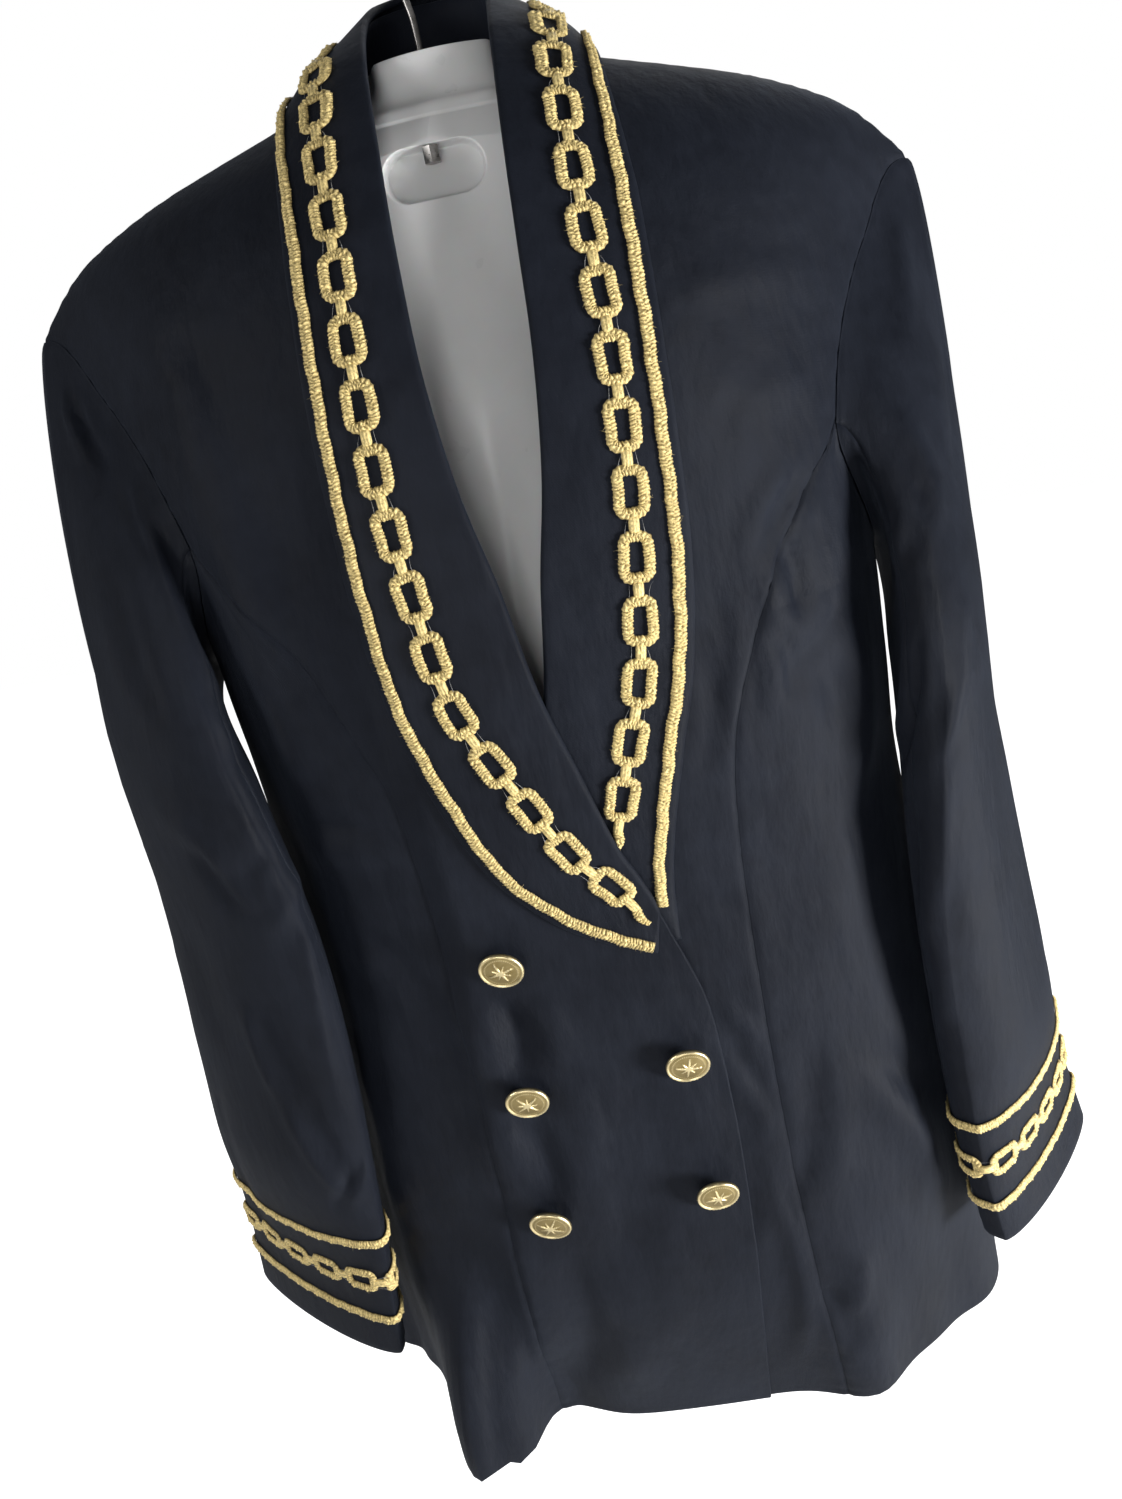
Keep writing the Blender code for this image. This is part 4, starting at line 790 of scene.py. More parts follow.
FORM = "torso_form_shell"
for name, side in (("right", 1), ("left", -1)):
    g = body_rows(1.0)
    outer_edge = -parted(np.where(g < MEET_ROW, seam_angle(g), armhole_angle(g)), g, -1)
    inner_edge = parted(edge_angle(g), g, -1)
    angle = side * (outer_edge[:, None] + (inner_edge - outer_edge)[:, None] * shares(66))
    rows = np.repeat(g[:, None], angle.shape[1], axis=1)
    rows[-1] += row_gap(angle[-1], -1)
    x, _, z = np.moveaxis(loft(angle, rows), -1, 0)
    lift = lap_lift(x - sway(z), z) if side > 0 else np.zeros(angle.shape)
    add_panel(f"front_{name}_centre", angle, rows, lift, ("left", "top"), [FORM])

    g = body_rows(MEET_ROW)
    side_edge = -parted(armhole_angle(g), g, -1)
    seam_edge = -parted(seam_angle(g), g, 1)
    seam_edge = np.maximum(seam_edge, side_edge + 0.12)
    angle = side * (side_edge[:, None] + (seam_edge - side_edge)[:, None] * shares(34))
    rows = np.repeat(g[:, None], angle.shape[1], axis=1)
    add_panel(f"front_{name}_side", angle, rows, np.zeros(angle.shape), ("left", "right"), [FORM])

# %% [markdown]
# The back is one piece. Its columns crowd towards the neck, where the neck seam drops behind the
# shoulder seams on an ellipse.

# %% The back
def neck_row(x):
    """Row g of the back's neck seam: behind the shoulder seam by an ellipse of x."""
    return 1.0 + NECK_SCOOP * np.sqrt(np.clip(1.0 - (np.abs(x) / NECK_X) ** 2, 0.0, 1.0))


g = 2.0 - body_rows(1.0)
edge = parted(armhole_angle(g), g, -1)
share = 2 * shares(110, 0.002) - 1
share = np.sign(share) * np.abs(share) ** 1.2
angle = edge[:, None] * share
rows = np.repeat(g[:, None], len(share), axis=1)
top = neck_row(SHOULDER_HALF * across_share(angle[-1])) + row_gap(angle[-1], 1)
rows = np.where(rows < 2.0, 2.0 - (2.0 - rows) * (2.0 - top), rows)
add_panel("back", angle, rows, np.zeros(angle.shape), ("left", "right", "top"), [FORM])

# %% [markdown]
# ## Sleeves
# A set-in sleeve starts on the armhole and ends in a flattened tube. Its head is a Hermite blend
# between the armhole, with the direction in which the cloth leaves it, and the first section of
# the tube. The elbow and the crook of the arm get creases, measured round the sleeve and down it.

# %% Sleeve surface
# height, centre x and y, half length fore and aft, half thickness, turn inwards in degrees
SLEEVES = {
    1: np.array([
        (-0.290, -0.2010, -0.0420, 0.0790, 0.0285, 39.0), (-0.370, -0.1945, -0.0480, 0.0760, 0.0265, 46.0),
        (-0.450, -0.1960, -0.0530, 0.0740, 0.0255, 50.0), (-0.560, -0.2045, -0.0530, 0.0710, 0.0255, 51.0),
        (-0.648, -0.2135, -0.0500, 0.0700, 0.0265, 51.0)]),
    -1: np.array([
        (-0.290, 0.2085, -0.0270, 0.0770, 0.0250, 13.0), (-0.370, 0.2105, -0.0330, 0.0740, 0.0245, 22.0),
        (-0.450, 0.2155, -0.0360, 0.0720, 0.0245, 28.0), (-0.560, 0.2275, -0.0385, 0.0680, 0.0240, 35.0),
        (-0.632, 0.2405, -0.0380, 0.0650, 0.0250, 39.0)])}
SLEEVE_COLUMNS, CAP_RINGS, TUBE_RINGS, HEAD_FALL = 132, 28, 90, 0.7
UNDER_SLEEVE = 24                  # columns each side of the underarm that the under sleeve takes
# Creases of a sleeve: distance round it and height at the start and at the end, half width, rise,
# in millimetres. The distance is 0 at the underarm, 90 at the front crease, 180 outside
SLEEVE_CREASES = {
    1: (
        (161, -82, 142, -116, 5, 2.7), (150, -88, 125, -123, 5, -2.4), (117, -130, 104, -171, 6, -1.9),
        (98, -156, 41, -251, 10, 3.2), (136, -175, 131, -239, 9, -1.9), (147, -180, 150, -235, 8, 1.4),
        (147, -312, 136, -350, 6, -2.7), (147, -290, 128, -323, 9, 1.6), (49, -339, 131, -361, 7, 2.4),
        (79, -312, 131, -333, 6, -1.6), (158, -407, 150, -467, 5, 2.7), (150, -467, 120, -530, 5, 2.7),
        (145, -402, 134, -460, 8, -1.9), (134, -460, 117, -506, 6, -1.6), (85, -350, 112, -460, 10, 2.4),
        (120, -530, 90, -506, 4, 2.2), (134, -537, 112, -506, 4, -1.6), (161, -256, 147, -312, 12, 1.6),
        (183, -366, 183, -441, 12, -1.9), (136, -238, 35, -275, 7, -1.2), (215, -150, 235, -240, 10, 1.9),
        (230, -330, 285, -368, 8, 2.2), (236, -385, 290, -402, 7, -2), (250, -430, 240, -560, 11, 1.9),
        (205, -470, 212, -600, 10, -1.6)),
    -1: (
        (147, -69, 125, -91, 5, -2.2), (155, -74, 123, -147, 9, 1.6), (106, -168, 117, -214, 9, 2.4),
        (65, -196, 38, -248, 7, -3), (76, -229, 112, -207, 5, -1.9), (49, -236, 128, -209, 6, 1.6),
        (79, -270, 46, -339, 4, -3.2), (65, -261, 35, -333, 7, 2.7), (33, -268, 10, -339, 8, -1.6),
        (125, -251, 85, -333, 9, 2.2), (98, -333, 65, -447, 12, 3), (63, -355, 55, -447, 7, -1.9),
        (85, -418, 79, -483, 8, 1.9), (172, -152, 139, -205, 8, -1.6), (205, -150, 232, -240, 10, 1.9),
        (232, -335, 285, -372, 8, 2.2), (240, -392, 292, -408, 7, -2), (245, -430, 252, -570, 11, 1.9),
        (200, -330, 196, -520, 10, 1.6))}


def sleeve_section(row, side, a):
    """One ring of a sleeve at angles a: an ellipse, pinched a little towards its two creases. The
    left one is full where its front rests against the body."""
    z, x, y, length, thick, turn = row
    turn = math.radians(turn)
    front = np.array((side * math.sin(turn), -math.cos(turn), 0.0))
    body = np.array((side * math.cos(turn), math.sin(turn), 0.0))
    pinch = 0.25 * (1 + np.sin(a)) / 2
    full = (np.cos(a) > 0) & (np.sin(a) > 0) & (side < 0)
    width = np.sign(np.cos(a)) * np.abs(np.cos(a)) ** np.where(full, 0.55, 1 + pinch)
    width = width * np.where(width < 0, 1 - 0.6 * smooth_step(-z, 0.50, 0.62), 1.0)
    return np.array((x, y, z)) + front * (length * np.sin(a))[:, None] + body * (thick * width)[:, None]


def sleeve_grid(side):
    """Outer points of a sleeve: armhole, head, tube. Column 0 is at the underarm."""
    t = np.arange(SLEEVE_COLUMNS) / SLEEVE_COLUMNS
    up = 1 - np.abs(1 - 2 * t)
    up = 0.4 * up + 0.6 * up**2
    g = np.where(t <= 0.5, up, 2 - up)
    angle = -side * armhole_angle(g)
    start, normal = loft(angle, g), loft_normal(np.clip(angle, -89.0, 89.0), g)
    ahead = np.roll(start, -1, axis=0) - np.roll(start, 1, axis=0)
    away = unit(np.cross(normal, ahead) * side)
    a = math.tau * t
    table = SLEEVES[side]
    first = sleeve_section(table[0], side, a)
    down = unit(sleeve_section(smooth_table(table, np.array([0.15]))[0], side, a) - first)
    span = np.linalg.norm(first - start, axis=-1, keepdims=True)
    under = ((1 + np.cos(a)) / 2)[:, None] ** 2
    out, fall = np.array((-side * 1.0, 0.0, 0.0)), np.array((0.0, 0.0, -1.0))
    leave = unit((away + HEAD_FALL * fall) * (1 - under) + (out + 0.1 * away) * under + normal * 0.20)
    begin = start + leave * 3 * SEAM_GAP
    pull, drop = 0.22 + 0.43 * under, 1.1 - 0.2 * under
    rings = []
    for s in shares(CAP_RINGS, 0.004)[:-8]:
        h00, h10 = 2 * s**3 - 3 * s**2 + 1, s**3 - 2 * s**2 + s
        h01, h11 = -2 * s**3 + 3 * s**2, s**3 - s**2
        rings.append(h00 * begin + h10 * pull * span * leave + h01 * first + h11 * drop * span * down)
    for place in np.linspace(0.0, len(table) - 1.0, TUBE_RINGS):
        rings.append(sleeve_section(smooth_table(table, np.array([place]))[0], side, a))
    return np.array(rings)


def ring_normal(grid):
    """Outward normals of a tube of points, from its neighbours."""
    across = np.roll(grid, -1, axis=1) - np.roll(grid, 1, axis=1)
    normal = unit(np.cross(across, np.gradient(grid, axis=0)))
    return normal if np.sum(normal * (grid - grid.mean(axis=1, keepdims=True))) > 0 else -normal


# %% [markdown]
# The creases are pushed out of the tube along its normals, and fade out at the armhole and under
# the arm. The tube is then cut in two along seams that lie UNDER_SLEEVE columns from the underarm.

# %% Sleeve panels
sleeves = {}
for name, side in (("right", 1), ("left", -1)):
    grid = sleeve_grid(side)
    normal = ring_normal(grid)
    around = np.linspace(0, 360, SLEEVE_COLUMNS, endpoint=False)[None, :] / 1000
    push = creased(around, grid[..., 2], SLEEVE_CREASES[side])
    underarm = 180 - np.abs(180 - 1000 * around)
    fade = smooth_step(run(grid, 0), 0.004, 0.03) * smooth_step(underarm, 20, 50)
    grid = grid + normal * (push * fade)[..., None]
    normal = ring_normal(grid)
    sleeves[name] = (grid, normal)
    ends = (UNDER_SLEEVE, SLEEVE_COLUMNS - UNDER_SLEEVE)
    for part, first, last in (("top", *ends), ("under", ends[1] - SLEEVE_COLUMNS, ends[0])):
        index = np.arange(first, last + 1) % SLEEVE_COLUMNS
        outer, out = grid[:, index].copy(), normal[:, index]
        for end, neighbour in ((0, 1), (-1, -2)):
            outer[:, end] += unit(outer[:, neighbour] - outer[:, end]) * SEAM_GAP
        relief = seam_relief(outer, ("left", "right", "low"), 0.0005, 0.00015)[..., None]
        add_cloth(f"sleeve_{name}_{part}", outer + out * relief, outer - out * WALL, "hung", [FORM])

# %% [markdown]
# ## The shawl collar
# A shawl collar is one long band folded back on itself along the roll line. The front part lies on
# the loft, the neck part bends round the neck through a few listed stations. At the roll the
# cloth turns under on a small arc, which gives the soft thick edge of a real collar.

# %% Collar surface
# from the lower end up: roll line x and z, outer edge x and z
COLLAR_FRONT = mm([
    (33.5, -376, 29.2, -396.5), (29.5, -364, 3, -385), (24.5, -351, -20, -369), (18, -334, -42.6, -340),
    (8, -295, -59.5, -296), (-3, -254, -71.5, -253), (-11.2, -205, -77, -206), (-20.5, -160, -78, -160),
    (-26.2, -110, -77.5, -107), (-28, -60, -76.5, -52)])
LEFT_EDGE = mm([
    (-42, -398), (-42.2, -384), (-43.5, -364), (-47.5, -340), (-58.5, -296), (-70.5, -253), (-77.5, -206),
    (-80, -160), (-81.5, -107), (-81.5, -52)])
# roll line x, y, z, outer edge x and g on the loft, outward bulge
COLLAR_NECK = (
    (-0.0290, -0.0660, -0.0150, 0.0750, 0.80, 0.005), (-0.0310, -0.0300, 0.0300, 0.0715, 0.98, 0.009),
    (-0.0310, 0.0150, 0.0580, 0.0680, 1.15, 0.011), (-0.0220, 0.0430, 0.0690, 0.0450, 1.32, 0.012),
    (0.0000, 0.0530, 0.0720, 0.0000, 1.38, 0.012))
EDGE_LIFT, COLLAR_COLUMNS, FRONT_ROWS, NECK_ROWS = 0.0050, 30, 100, 50
LEFT_SHARE = 0.033                 # share of the left collar's front that the right one hides
ROLL_RADIUS, ROLL_TURN, ROLL_STEPS = 0.0021, 160.0, 8
NECK_SWAY = SWAY[-1, 1]


def collar_front(place, side):
    """Outer points of a collar half on the front, straight from roll line to outer edge in x and z,
    and lifted off the loft by the layers under it."""
    share = np.linspace(0.0, 1.0, COLLAR_COLUMNS + 1)
    table = COLLAR_FRONT.copy()
    if side < 0:
        table[:len(LEFT_EDGE), 2:] = LEFT_EDGE
    roll_x, roll_z, edge_x, edge_z = np.moveaxis(smooth_table(table, place), -1, 0)
    x = roll_x[:, None] + (edge_x - roll_x)[:, None] * share
    z = roll_z[:, None] + (edge_z - roll_z)[:, None] * share
    g = row_of(x, z)
    lift = COLLAR_GAP + COLLAR_WALL + (lap_lift(x, z) if side > 0 else 0.0 * x)
    return lifted(side * angle_of(x, g), g, lift)


def mirrored(points):
    """Points on the other side of the garment's centre line at the neck."""
    return points * (-1.0, 1.0, 1.0) + (2 * NECK_SWAY, 0.0, 0.0)


def collar_grid(side):
    """Outer points of a collar half, from its lower end to the centre back."""
    last = len(COLLAR_FRONT) - 1.0
    front = collar_front(np.linspace(0.0 if side > 0 else last * LEFT_SHARE, last, FRONT_ROWS), side)
    tail = collar_front(np.array([last - 1.0, last]), side)
    controls = list(tail if side > 0 else mirrored(tail))
    share = np.linspace(0.0, 1.0, COLLAR_COLUMNS + 1)[:, None]
    for roll_x, roll_y, roll_z, edge_x, edge_g, bulge in COLLAR_NECK:
        roll = np.array((roll_x + NECK_SWAY, roll_y, roll_z))
        edge = lifted(angle_of(-edge_x, edge_g), np.array(edge_g), np.array(EDGE_LIFT))
        out = (roll + edge) / 2 - (NECK_SWAY, 0.0, 0.0)
        out[2] = 0.4 * np.hypot(out[0], out[1])
        controls.append(roll + (edge - roll) * share + unit(out) * bulge * 4 * share * (1 - share))
    controls.append(mirrored(controls[-2]))
    neck = smooth_table(np.array(controls), np.linspace(1.0, len(controls) - 2.0, NECK_ROWS + 1)[1:])
    return np.concatenate([front, neck if side > 0 else mirrored(neck)])


def collar_normal(grid):
    """Outward normals of the collar, from its neighbours."""
    normal = unit(np.cross(np.gradient(grid, axis=1), np.gradient(grid, axis=0)))
    return -normal if normal[20, 10, 1] > 0 else normal


def rolled(grid, normal, depth, thick):
    """Extra columns before the first: an arc of radius depth - thick that turns the roll line under."""
    turn = np.radians(np.linspace(ROLL_TURN, 0.0, ROLL_STEPS + 1))[:-1]
    across = grid[:, 1] - grid[:, 0]
    across = unit(across - normal[:, 0] * np.sum(across * normal[:, 0], axis=-1, keepdims=True))
    centre = (grid - normal * depth)[:, :1]
    cosine, sine = np.cos(turn)[:, None], np.sin(turn)[:, None]
    return centre + (depth - thick) * (normal[:, :1] * cosine - across[:, None] * sine)


# %% [markdown]
# Each half gets a furrow beside its outer edge, where it is stitched, and slow waves over its
# width, which fade out towards the roll.

# %% Collar pieces
collars = {}
COLLAR_CLOTH = 0.0013
for name, side in (("right", 1), ("left", -1)):
    grid = collar_grid(side)
    grid[-1, :, 0] = NECK_SWAY - side * SEAM_GAP / 2
    normal = collar_normal(grid)
    collars[name] = (grid, normal)
    away = run(grid, 1)
    relief = -0.0005 * np.exp(-(((away[:, -1:] - away) / 0.0016) ** 2))
    wave = np.sin(run(grid, 0) * 61) + 0.6 * np.sin(run(grid, 0) * 147 + 1.0)
    outer = grid + normal * (relief + 0.00018 * wave * smooth_step(away, 0.004, 0.02))[..., None]
    inner = grid - normal * COLLAR_CLOTH
    outer = np.concatenate([rolled(grid, normal, ROLL_RADIUS, 0.0), outer], axis=1)
    inner = np.concatenate([rolled(grid, normal, ROLL_RADIUS, COLLAR_CLOTH), inner], axis=1)
    add_cloth(f"collar_{name}", outer, inner, "folded", ["front_" + name + "_centre_cloth", "back_cloth"])

# %% [markdown]
# The stand is the upright band inside the collar. It runs from the neck seam up to the roll line,
# and closes the back of the neck behind the form.

# %% The stand
# distance of the neck seam from the centre, row g
STAND_SEAM = (
    (0.0360, 0.80), (0.0460, 0.91), (0.0535, 1.03), (0.0465, 1.145), (0.0310, 1.235), (0.0, 1.3))
STAND_DEPTH, STAND_OFF, STAND_FALL = 0.0020, 0.0006, 0.06
grid, normal = collars["right"]
roll = (grid - normal * (COLLAR_WALL + STAND_OFF))[-NECK_ROWS + 4:, 0]
seam_x, seam_g = np.array(STAND_SEAM).T
seam = lifted(-angle_of(seam_x, seam_g), seam_g, np.full(len(seam_g), -STAND_DEPTH))
seam = smooth_table(seam, np.linspace(0.0, len(seam) - 1.0, len(roll)))
top = roll + (seam - roll) * STAND_FALL
half = top[:, None] + (seam - top)[:, None] * np.linspace(0.0, 1.0, 14)[None, :, None]
grid = np.concatenate([half, mirrored(half[:-1][::-1])])
normal = unit(np.cross(np.gradient(grid, axis=1), np.gradient(grid, axis=0)))
normal = -normal if normal[len(grid) // 2, 1, 1] < 0 else normal
add_cloth("under_collar", grid, grid - normal * WALL, "folded", ["collar_right_cloth", "back_cloth"])

# %% [markdown]
# ## Gold trims
# The chain is an applique of flat plaited bands bent into links, joined by short bars. The braid is
# one long band. All of them are the same band: a low pillow in section, with a furrow down its
# middle and a herringbone of threads, wound along a path that lies on the collar or the cuff. A
# point of a trim is given by its distance along, its distance across and its height, and is then
# placed on the cloth by reading the cloth's own grid.

# %% Points on a cloth grid
def on_grid(grid, normal, r, c, lift, closed):
    """Points at row r and column c of a grid, mixed from its four nearest points, moved out by lift."""
    rows, columns = grid.shape[:2]
    r = np.clip(r, 0.0, rows - 1.0)
    r0 = np.minimum(r.astype(int), rows - 2)
    fr = (r - r0)[..., None]
    c = np.mod(c, columns) if closed else np.clip(c, 0.0, columns - 1.0)
    c0 = np.minimum(c.astype(int), columns - (1 if closed else 2))
    c1, fc = (c0 + 1) % columns, (c - c0)[..., None]

    def read(values):
        low = values[r0, c0] * (1 - fc) + values[r0, c1] * fc
        return low * (1 - fr) + (values[r0 + 1, c0] * (1 - fc) + values[r0 + 1, c1] * fc) * fr

    return read(grid) + read(normal) * np.asarray(lift, float)[..., None]


# %% [markdown]
# The plait's relief is made of waves along the band: leaning loops on both sides, a thin cord in
# the middle, and a nub of thread now and then.

# %% The plaited band
LINK_LENGTH, LINK_WIDTH, LINK_BAND, LINK_CORNER, LINK_RISE = 0.0236, 0.0164, 0.0052, 0.0034, 0.0019
CHAIN_PITCH, BRAID_WIDTH, BRAID_RISE = 0.0278, 0.0058, 0.0020
THREAD_PITCH, NUB_PITCH = 0.0016, 0.0097
BAND_SHARES = np.array([-1.0, -0.86, -0.62, -0.38, -0.16, 0.0, 0.16, 0.38, 0.62, 0.86, 1.0])


def plaited(along, share, phase=0.0):
    """Relief of a plaited band, 0 to 1: a row of leaning loops on each side, out of step with each
    other, and a thin twisted cord along the middle."""
    stray = 1.3 * np.sin(613 * along) + 0.9 * np.sin(1571 * along + 3 * share)
    lean = math.tau * (along / THREAD_PITCH - 0.45 * np.abs(share))
    loop = 0.5 + 0.5 * np.cos(lean + phase + stray + 1.6 * np.sign(share))
    row = np.sin(math.pi * np.clip(np.abs(share), 0.0, 1.0)) ** 0.6
    cord = np.exp(-((share / 0.10) ** 2)) * (0.6 + 0.4 * np.cos(math.tau * along / 0.0011))
    return np.clip(loop * row + 0.75 * cord, 0.0, 1.0)


def band_section(along, rise, phase=0.0):
    """For distances along a band: the shares, heights and relief of its section, top then back. A
    nub of thread stands out every NUB_PITCH, and the loops make the edges ragged."""
    at = along[:, None]
    share = np.broadcast_to(BAND_SHARES, (len(along), len(BAND_SHARES)))
    beside_nub = (np.mod(at, NUB_PITCH) - NUB_PITCH / 2) / 0.0006
    nub = np.exp(-(beside_nub**2) - ((np.abs(share) - 0.5) / 0.35) ** 2)
    relief = np.maximum(plaited(at, share, phase), nub)
    height = rise * ((0.30 + 0.70 * (1 - np.abs(share) ** 3.2)) * (0.55 + 0.55 * relief) + 0.28 * nub)
    height = np.where(np.abs(share) > 0.99, 0.25 * rise, height)
    ragged = 0.98 + 0.09 * np.cos(math.tau * at / THREAD_PITCH + phase + 1.6 * np.sign(share) - 2.6)
    ragged = ragged + 0.04 * np.sin(1733 * at + 2 * share) + 0.03 * np.sin(2911 * at + 5 * share)
    back = np.stack([np.full(len(along), 0.9), np.full(len(along), -0.9)], axis=1)
    share = np.concatenate([share * ragged, back], axis=1)
    height = np.concatenate([height, np.zeros_like(back)], axis=1)
    relief = np.concatenate([relief, np.zeros_like(back)], axis=1)
    return share, height, relief


def torus_faces(rows, columns):
    """Quads of a band that closes on itself both ways."""
    r, c = np.meshgrid(np.arange(rows), np.arange(columns), indexing="ij")
    a, b = (r * columns + c).ravel(), (r * columns + (c + 1) % columns).ravel()
    below = (r + 1) % rows * columns
    return np.stack([a, b, (below + (c + 1) % columns).ravel(), (below + c).ravel()], 1)


def link_path(steps):
    """Centre line of a link at even distances: a rectangle with round corners, its normals, length."""
    a, b, r = (LINK_LENGTH - LINK_BAND) / 2, (LINK_WIDTH - LINK_BAND) / 2, LINK_CORNER
    corner = np.radians(np.arange(0, 91, 6.0))
    points = []
    for k, (cx, cy) in enumerate(((a - r, b - r), (-a + r, b - r), (-a + r, -b + r), (a - r, -b + r))):
        turn = corner + k * math.pi / 2
        points.append(np.stack([cx + r * np.cos(turn), cy + r * np.sin(turn)], 1))
    line = np.concatenate(points)
    line = np.concatenate([line, line[:1]])
    reach = np.append(0.0, np.cumsum(np.linalg.norm(np.diff(line, axis=0), axis=1)))
    at = np.linspace(0.0, reach[-1], steps, endpoint=False)
    path = np.stack([np.interp(at, reach, line[:, k]) for k in (0, 1)], 1)
    ahead = unit(np.roll(path, -1, axis=0) - np.roll(path, 1, axis=0))
    return path, np.stack([ahead[:, 1], -ahead[:, 0]], 1), at


# %% [markdown]
# A link is the band bent round a rectangle with round corners. A bar joins it to the next one.
# Loose ends of thread lean out at the edges, and one random generator with a fixed seed sets them.

# %% Links, bars and loose threads
LINK_STEPS, STUB_LENGTH = 140, 0.0105
BAR_REACH, BAR_HALF_WIDTH, BAR_RISE, BAR_CORD = 0.0046, 0.0025, 0.0023, 0.0016
TIE_REACH, BRAID_STEP = 0.0035, 0.00042
rng = np.random.default_rng(11)


def add_link(place, middle, number):
    """One link round a distance along the chain."""
    path, out, at = link_path(LINK_STEPS)
    share, height, relief = band_section(at, LINK_RISE, number * 1.7)
    wobble = 0.00022 * np.sin(at * 310 + number)[:, None]
    across = (share * LINK_BAND / 2 + wobble)[..., None] * out[:, None] + path[:, None]
    points = place(across[..., 0] + middle, across[..., 1], height).reshape(-1, 3)
    quads, _ = facing_out(points - points.mean(axis=0), torus_faces(LINK_STEPS, share.shape[1]))
    return points, quads, np.zeros((0, 3), int), relief.ravel()


def add_bar(place, middle, number):
    """The short bar between two links: a pillow with round ends and cords along it."""
    turn = math.tau * np.arange(28) / 28
    share = np.array([0.25, 0.5, 0.7, 0.85, 0.95, 1.0, 0.9])[:, None]
    along = BAR_REACH * np.sign(np.cos(turn)) * np.abs(np.cos(turn)) ** 0.6 * share
    across = BAR_HALF_WIDTH * np.sign(np.sin(turn)) * np.abs(np.sin(turn)) ** 0.7 * share
    cords = 0.5 + 0.5 * np.cos(math.tau * across / BAR_CORD)
    height = BAR_RISE * (1 - share**4 * 0.8) * (0.8 + 0.2 * cords)
    height[-1] = 0.0
    # Painted shade: these relief values only colour the bar, low between its cords and high on them.
    relief = np.concatenate([[1.0], (0.3 + 0.6 * cords + 0.0 * height).ravel(), [0.0]])
    rings = place(along + middle, across, height)
    ends = place(np.array([middle, middle]), np.zeros(2), np.array([0.0022, 0.0]))
    return rounded(rings, ends[0], ends[1], relief)


def wisps(starts, heads, length, radius):
    """Loose thread ends: thin three-sided tubes that leave a point, bend, and taper to nothing.
    Each one is its start, plus its heading times a distance, plus a sideways curl that grows with
    the square of that distance."""
    count, t = len(starts), np.array([0.0, 0.33, 0.66, 1.0])
    curl = unit(np.cross(heads, rng.normal(size=(count, 3)))) * rng.uniform(0.1, 0.5, (count, 1))
    reach = length[:, None, None] * t[None, :, None]
    line = starts[:, None] + heads[:, None] * reach + curl[:, None] * reach * t[None, :, None]
    one = unit(np.cross(heads, (0.3, 0.5, 0.8)))
    two = unit(np.cross(heads, one))
    turn = math.tau * np.arange(3) / 3
    ring = one[:, None] * np.cos(turn)[None, :, None] + two[:, None] * np.sin(turn)[None, :, None]
    rings = line[:, :, None] + ring[:, None] * (radius * (1.15 - t))[None, :, None, None]
    points = np.concatenate([line[:, :1], rings.reshape(count, -1, 3), line[:, -1:]], axis=1)
    quads, tris = round_faces(4, 3)
    quads, tris = facing_out(points[0] - points[0].mean(axis=0), quads, tris)
    step = (np.arange(count) * points.shape[1])[:, None, None]
    return (points.reshape(-1, 3), (quads[None] + step).reshape(-1, 4), (tris[None] + step).reshape(-1, 3),
            np.full(points.shape[0] * points.shape[1], 0.9))


def loose_ends(place, along, half, reach=0.0022):
    """Wisps at both edges of a strip of that half width, leaning outwards."""
    count = len(along)
    way = rng.choice([-1.0, 1.0], count)
    low = place(along, way * (half - 0.0004), np.full(count, 0.0009))
    aside = along + rng.normal(0, 0.0012, count)
    high = place(aside, way * (half + 0.002), rng.uniform(0.0002, 0.0018, count))
    return wisps(low, unit(high - low), rng.uniform(0.4, 1.0, count) * reach, 0.00007)


def add_stub(place, start, number):
    """What is left of a link at the collar's end: a narrow strip of the band that turns and tapers."""
    at = np.linspace(0.0, STUB_LENGTH, 36)
    share, height, relief = band_section(at, LINK_RISE, number)
    taper = (1.0 - 0.45 * smooth_step(at, 0.3 * STUB_LENGTH, STUB_LENGTH))[:, None]
    across = share * LINK_BAND / 2 * taper + (0.0014 * np.sin(at * 260))[:, None]
    points = place(start - at[:, None] + 0.0 * share, across, height)
    relief = np.concatenate([[0.4], relief.ravel(), [0.2]])
    return rounded(points, points[0].mean(axis=0), points[-1].mean(axis=0), relief)


def add_trim(node, parts):
    """A trim in place of its CAD node."""
    points, quads, tris, relief = joined(parts)
    return make_piece(f"{node}_plait", points, quads, tris, "gold_braid", (node,), relief=relief)


def clear_ties(name, place, count, pitch, first):
    """Pairs of clear threads across the gaps between links."""
    gaps = first + np.arange(1, count) * pitch
    lines = []
    for way in (-1.0, 1.0):
        start, end = (
            place(gaps + reach, np.full(len(gaps), way * aside), np.full(len(gaps), height))
            for reach, aside, height in ((-TIE_REACH, 0.0045, 0.0010), (TIE_REACH, 0.0035, 0.0012)))
        lines.append(wisps(start, unit(end - start), np.linalg.norm(end - start, axis=1), 0.00009))
    points, quads, tris, relief = joined(lines)
    make_piece(name, points, quads, tris, "clear_thread")


def add_chain(node, place, count, pitch, first, looped):
    """A chain: links, the bars between them, loose ends and clear ties."""
    parts = []
    for k in range(count):
        parts.append(add_link(place, first + (k + 0.5) * pitch, k))
        if looped or k < count - 1:
            parts.append(add_bar(place, first + (k + 1) * pitch, k))
    if not looped:
        parts += [add_bar(place, first, count), add_stub(place, first - 0.0030, count)]
    beside = (np.repeat(np.arange(count), 4) + 0.5 + rng.uniform(-0.2, 0.2, 4 * count)) * pitch
    parts.append(loose_ends(place, first + beside, LINK_WIDTH / 2))
    clear_ties(node + "_ties", place, count, pitch, first)
    print(f"{node}: {count} links every {1000 * pitch:.1f} mm")
    return add_trim(node, parts)


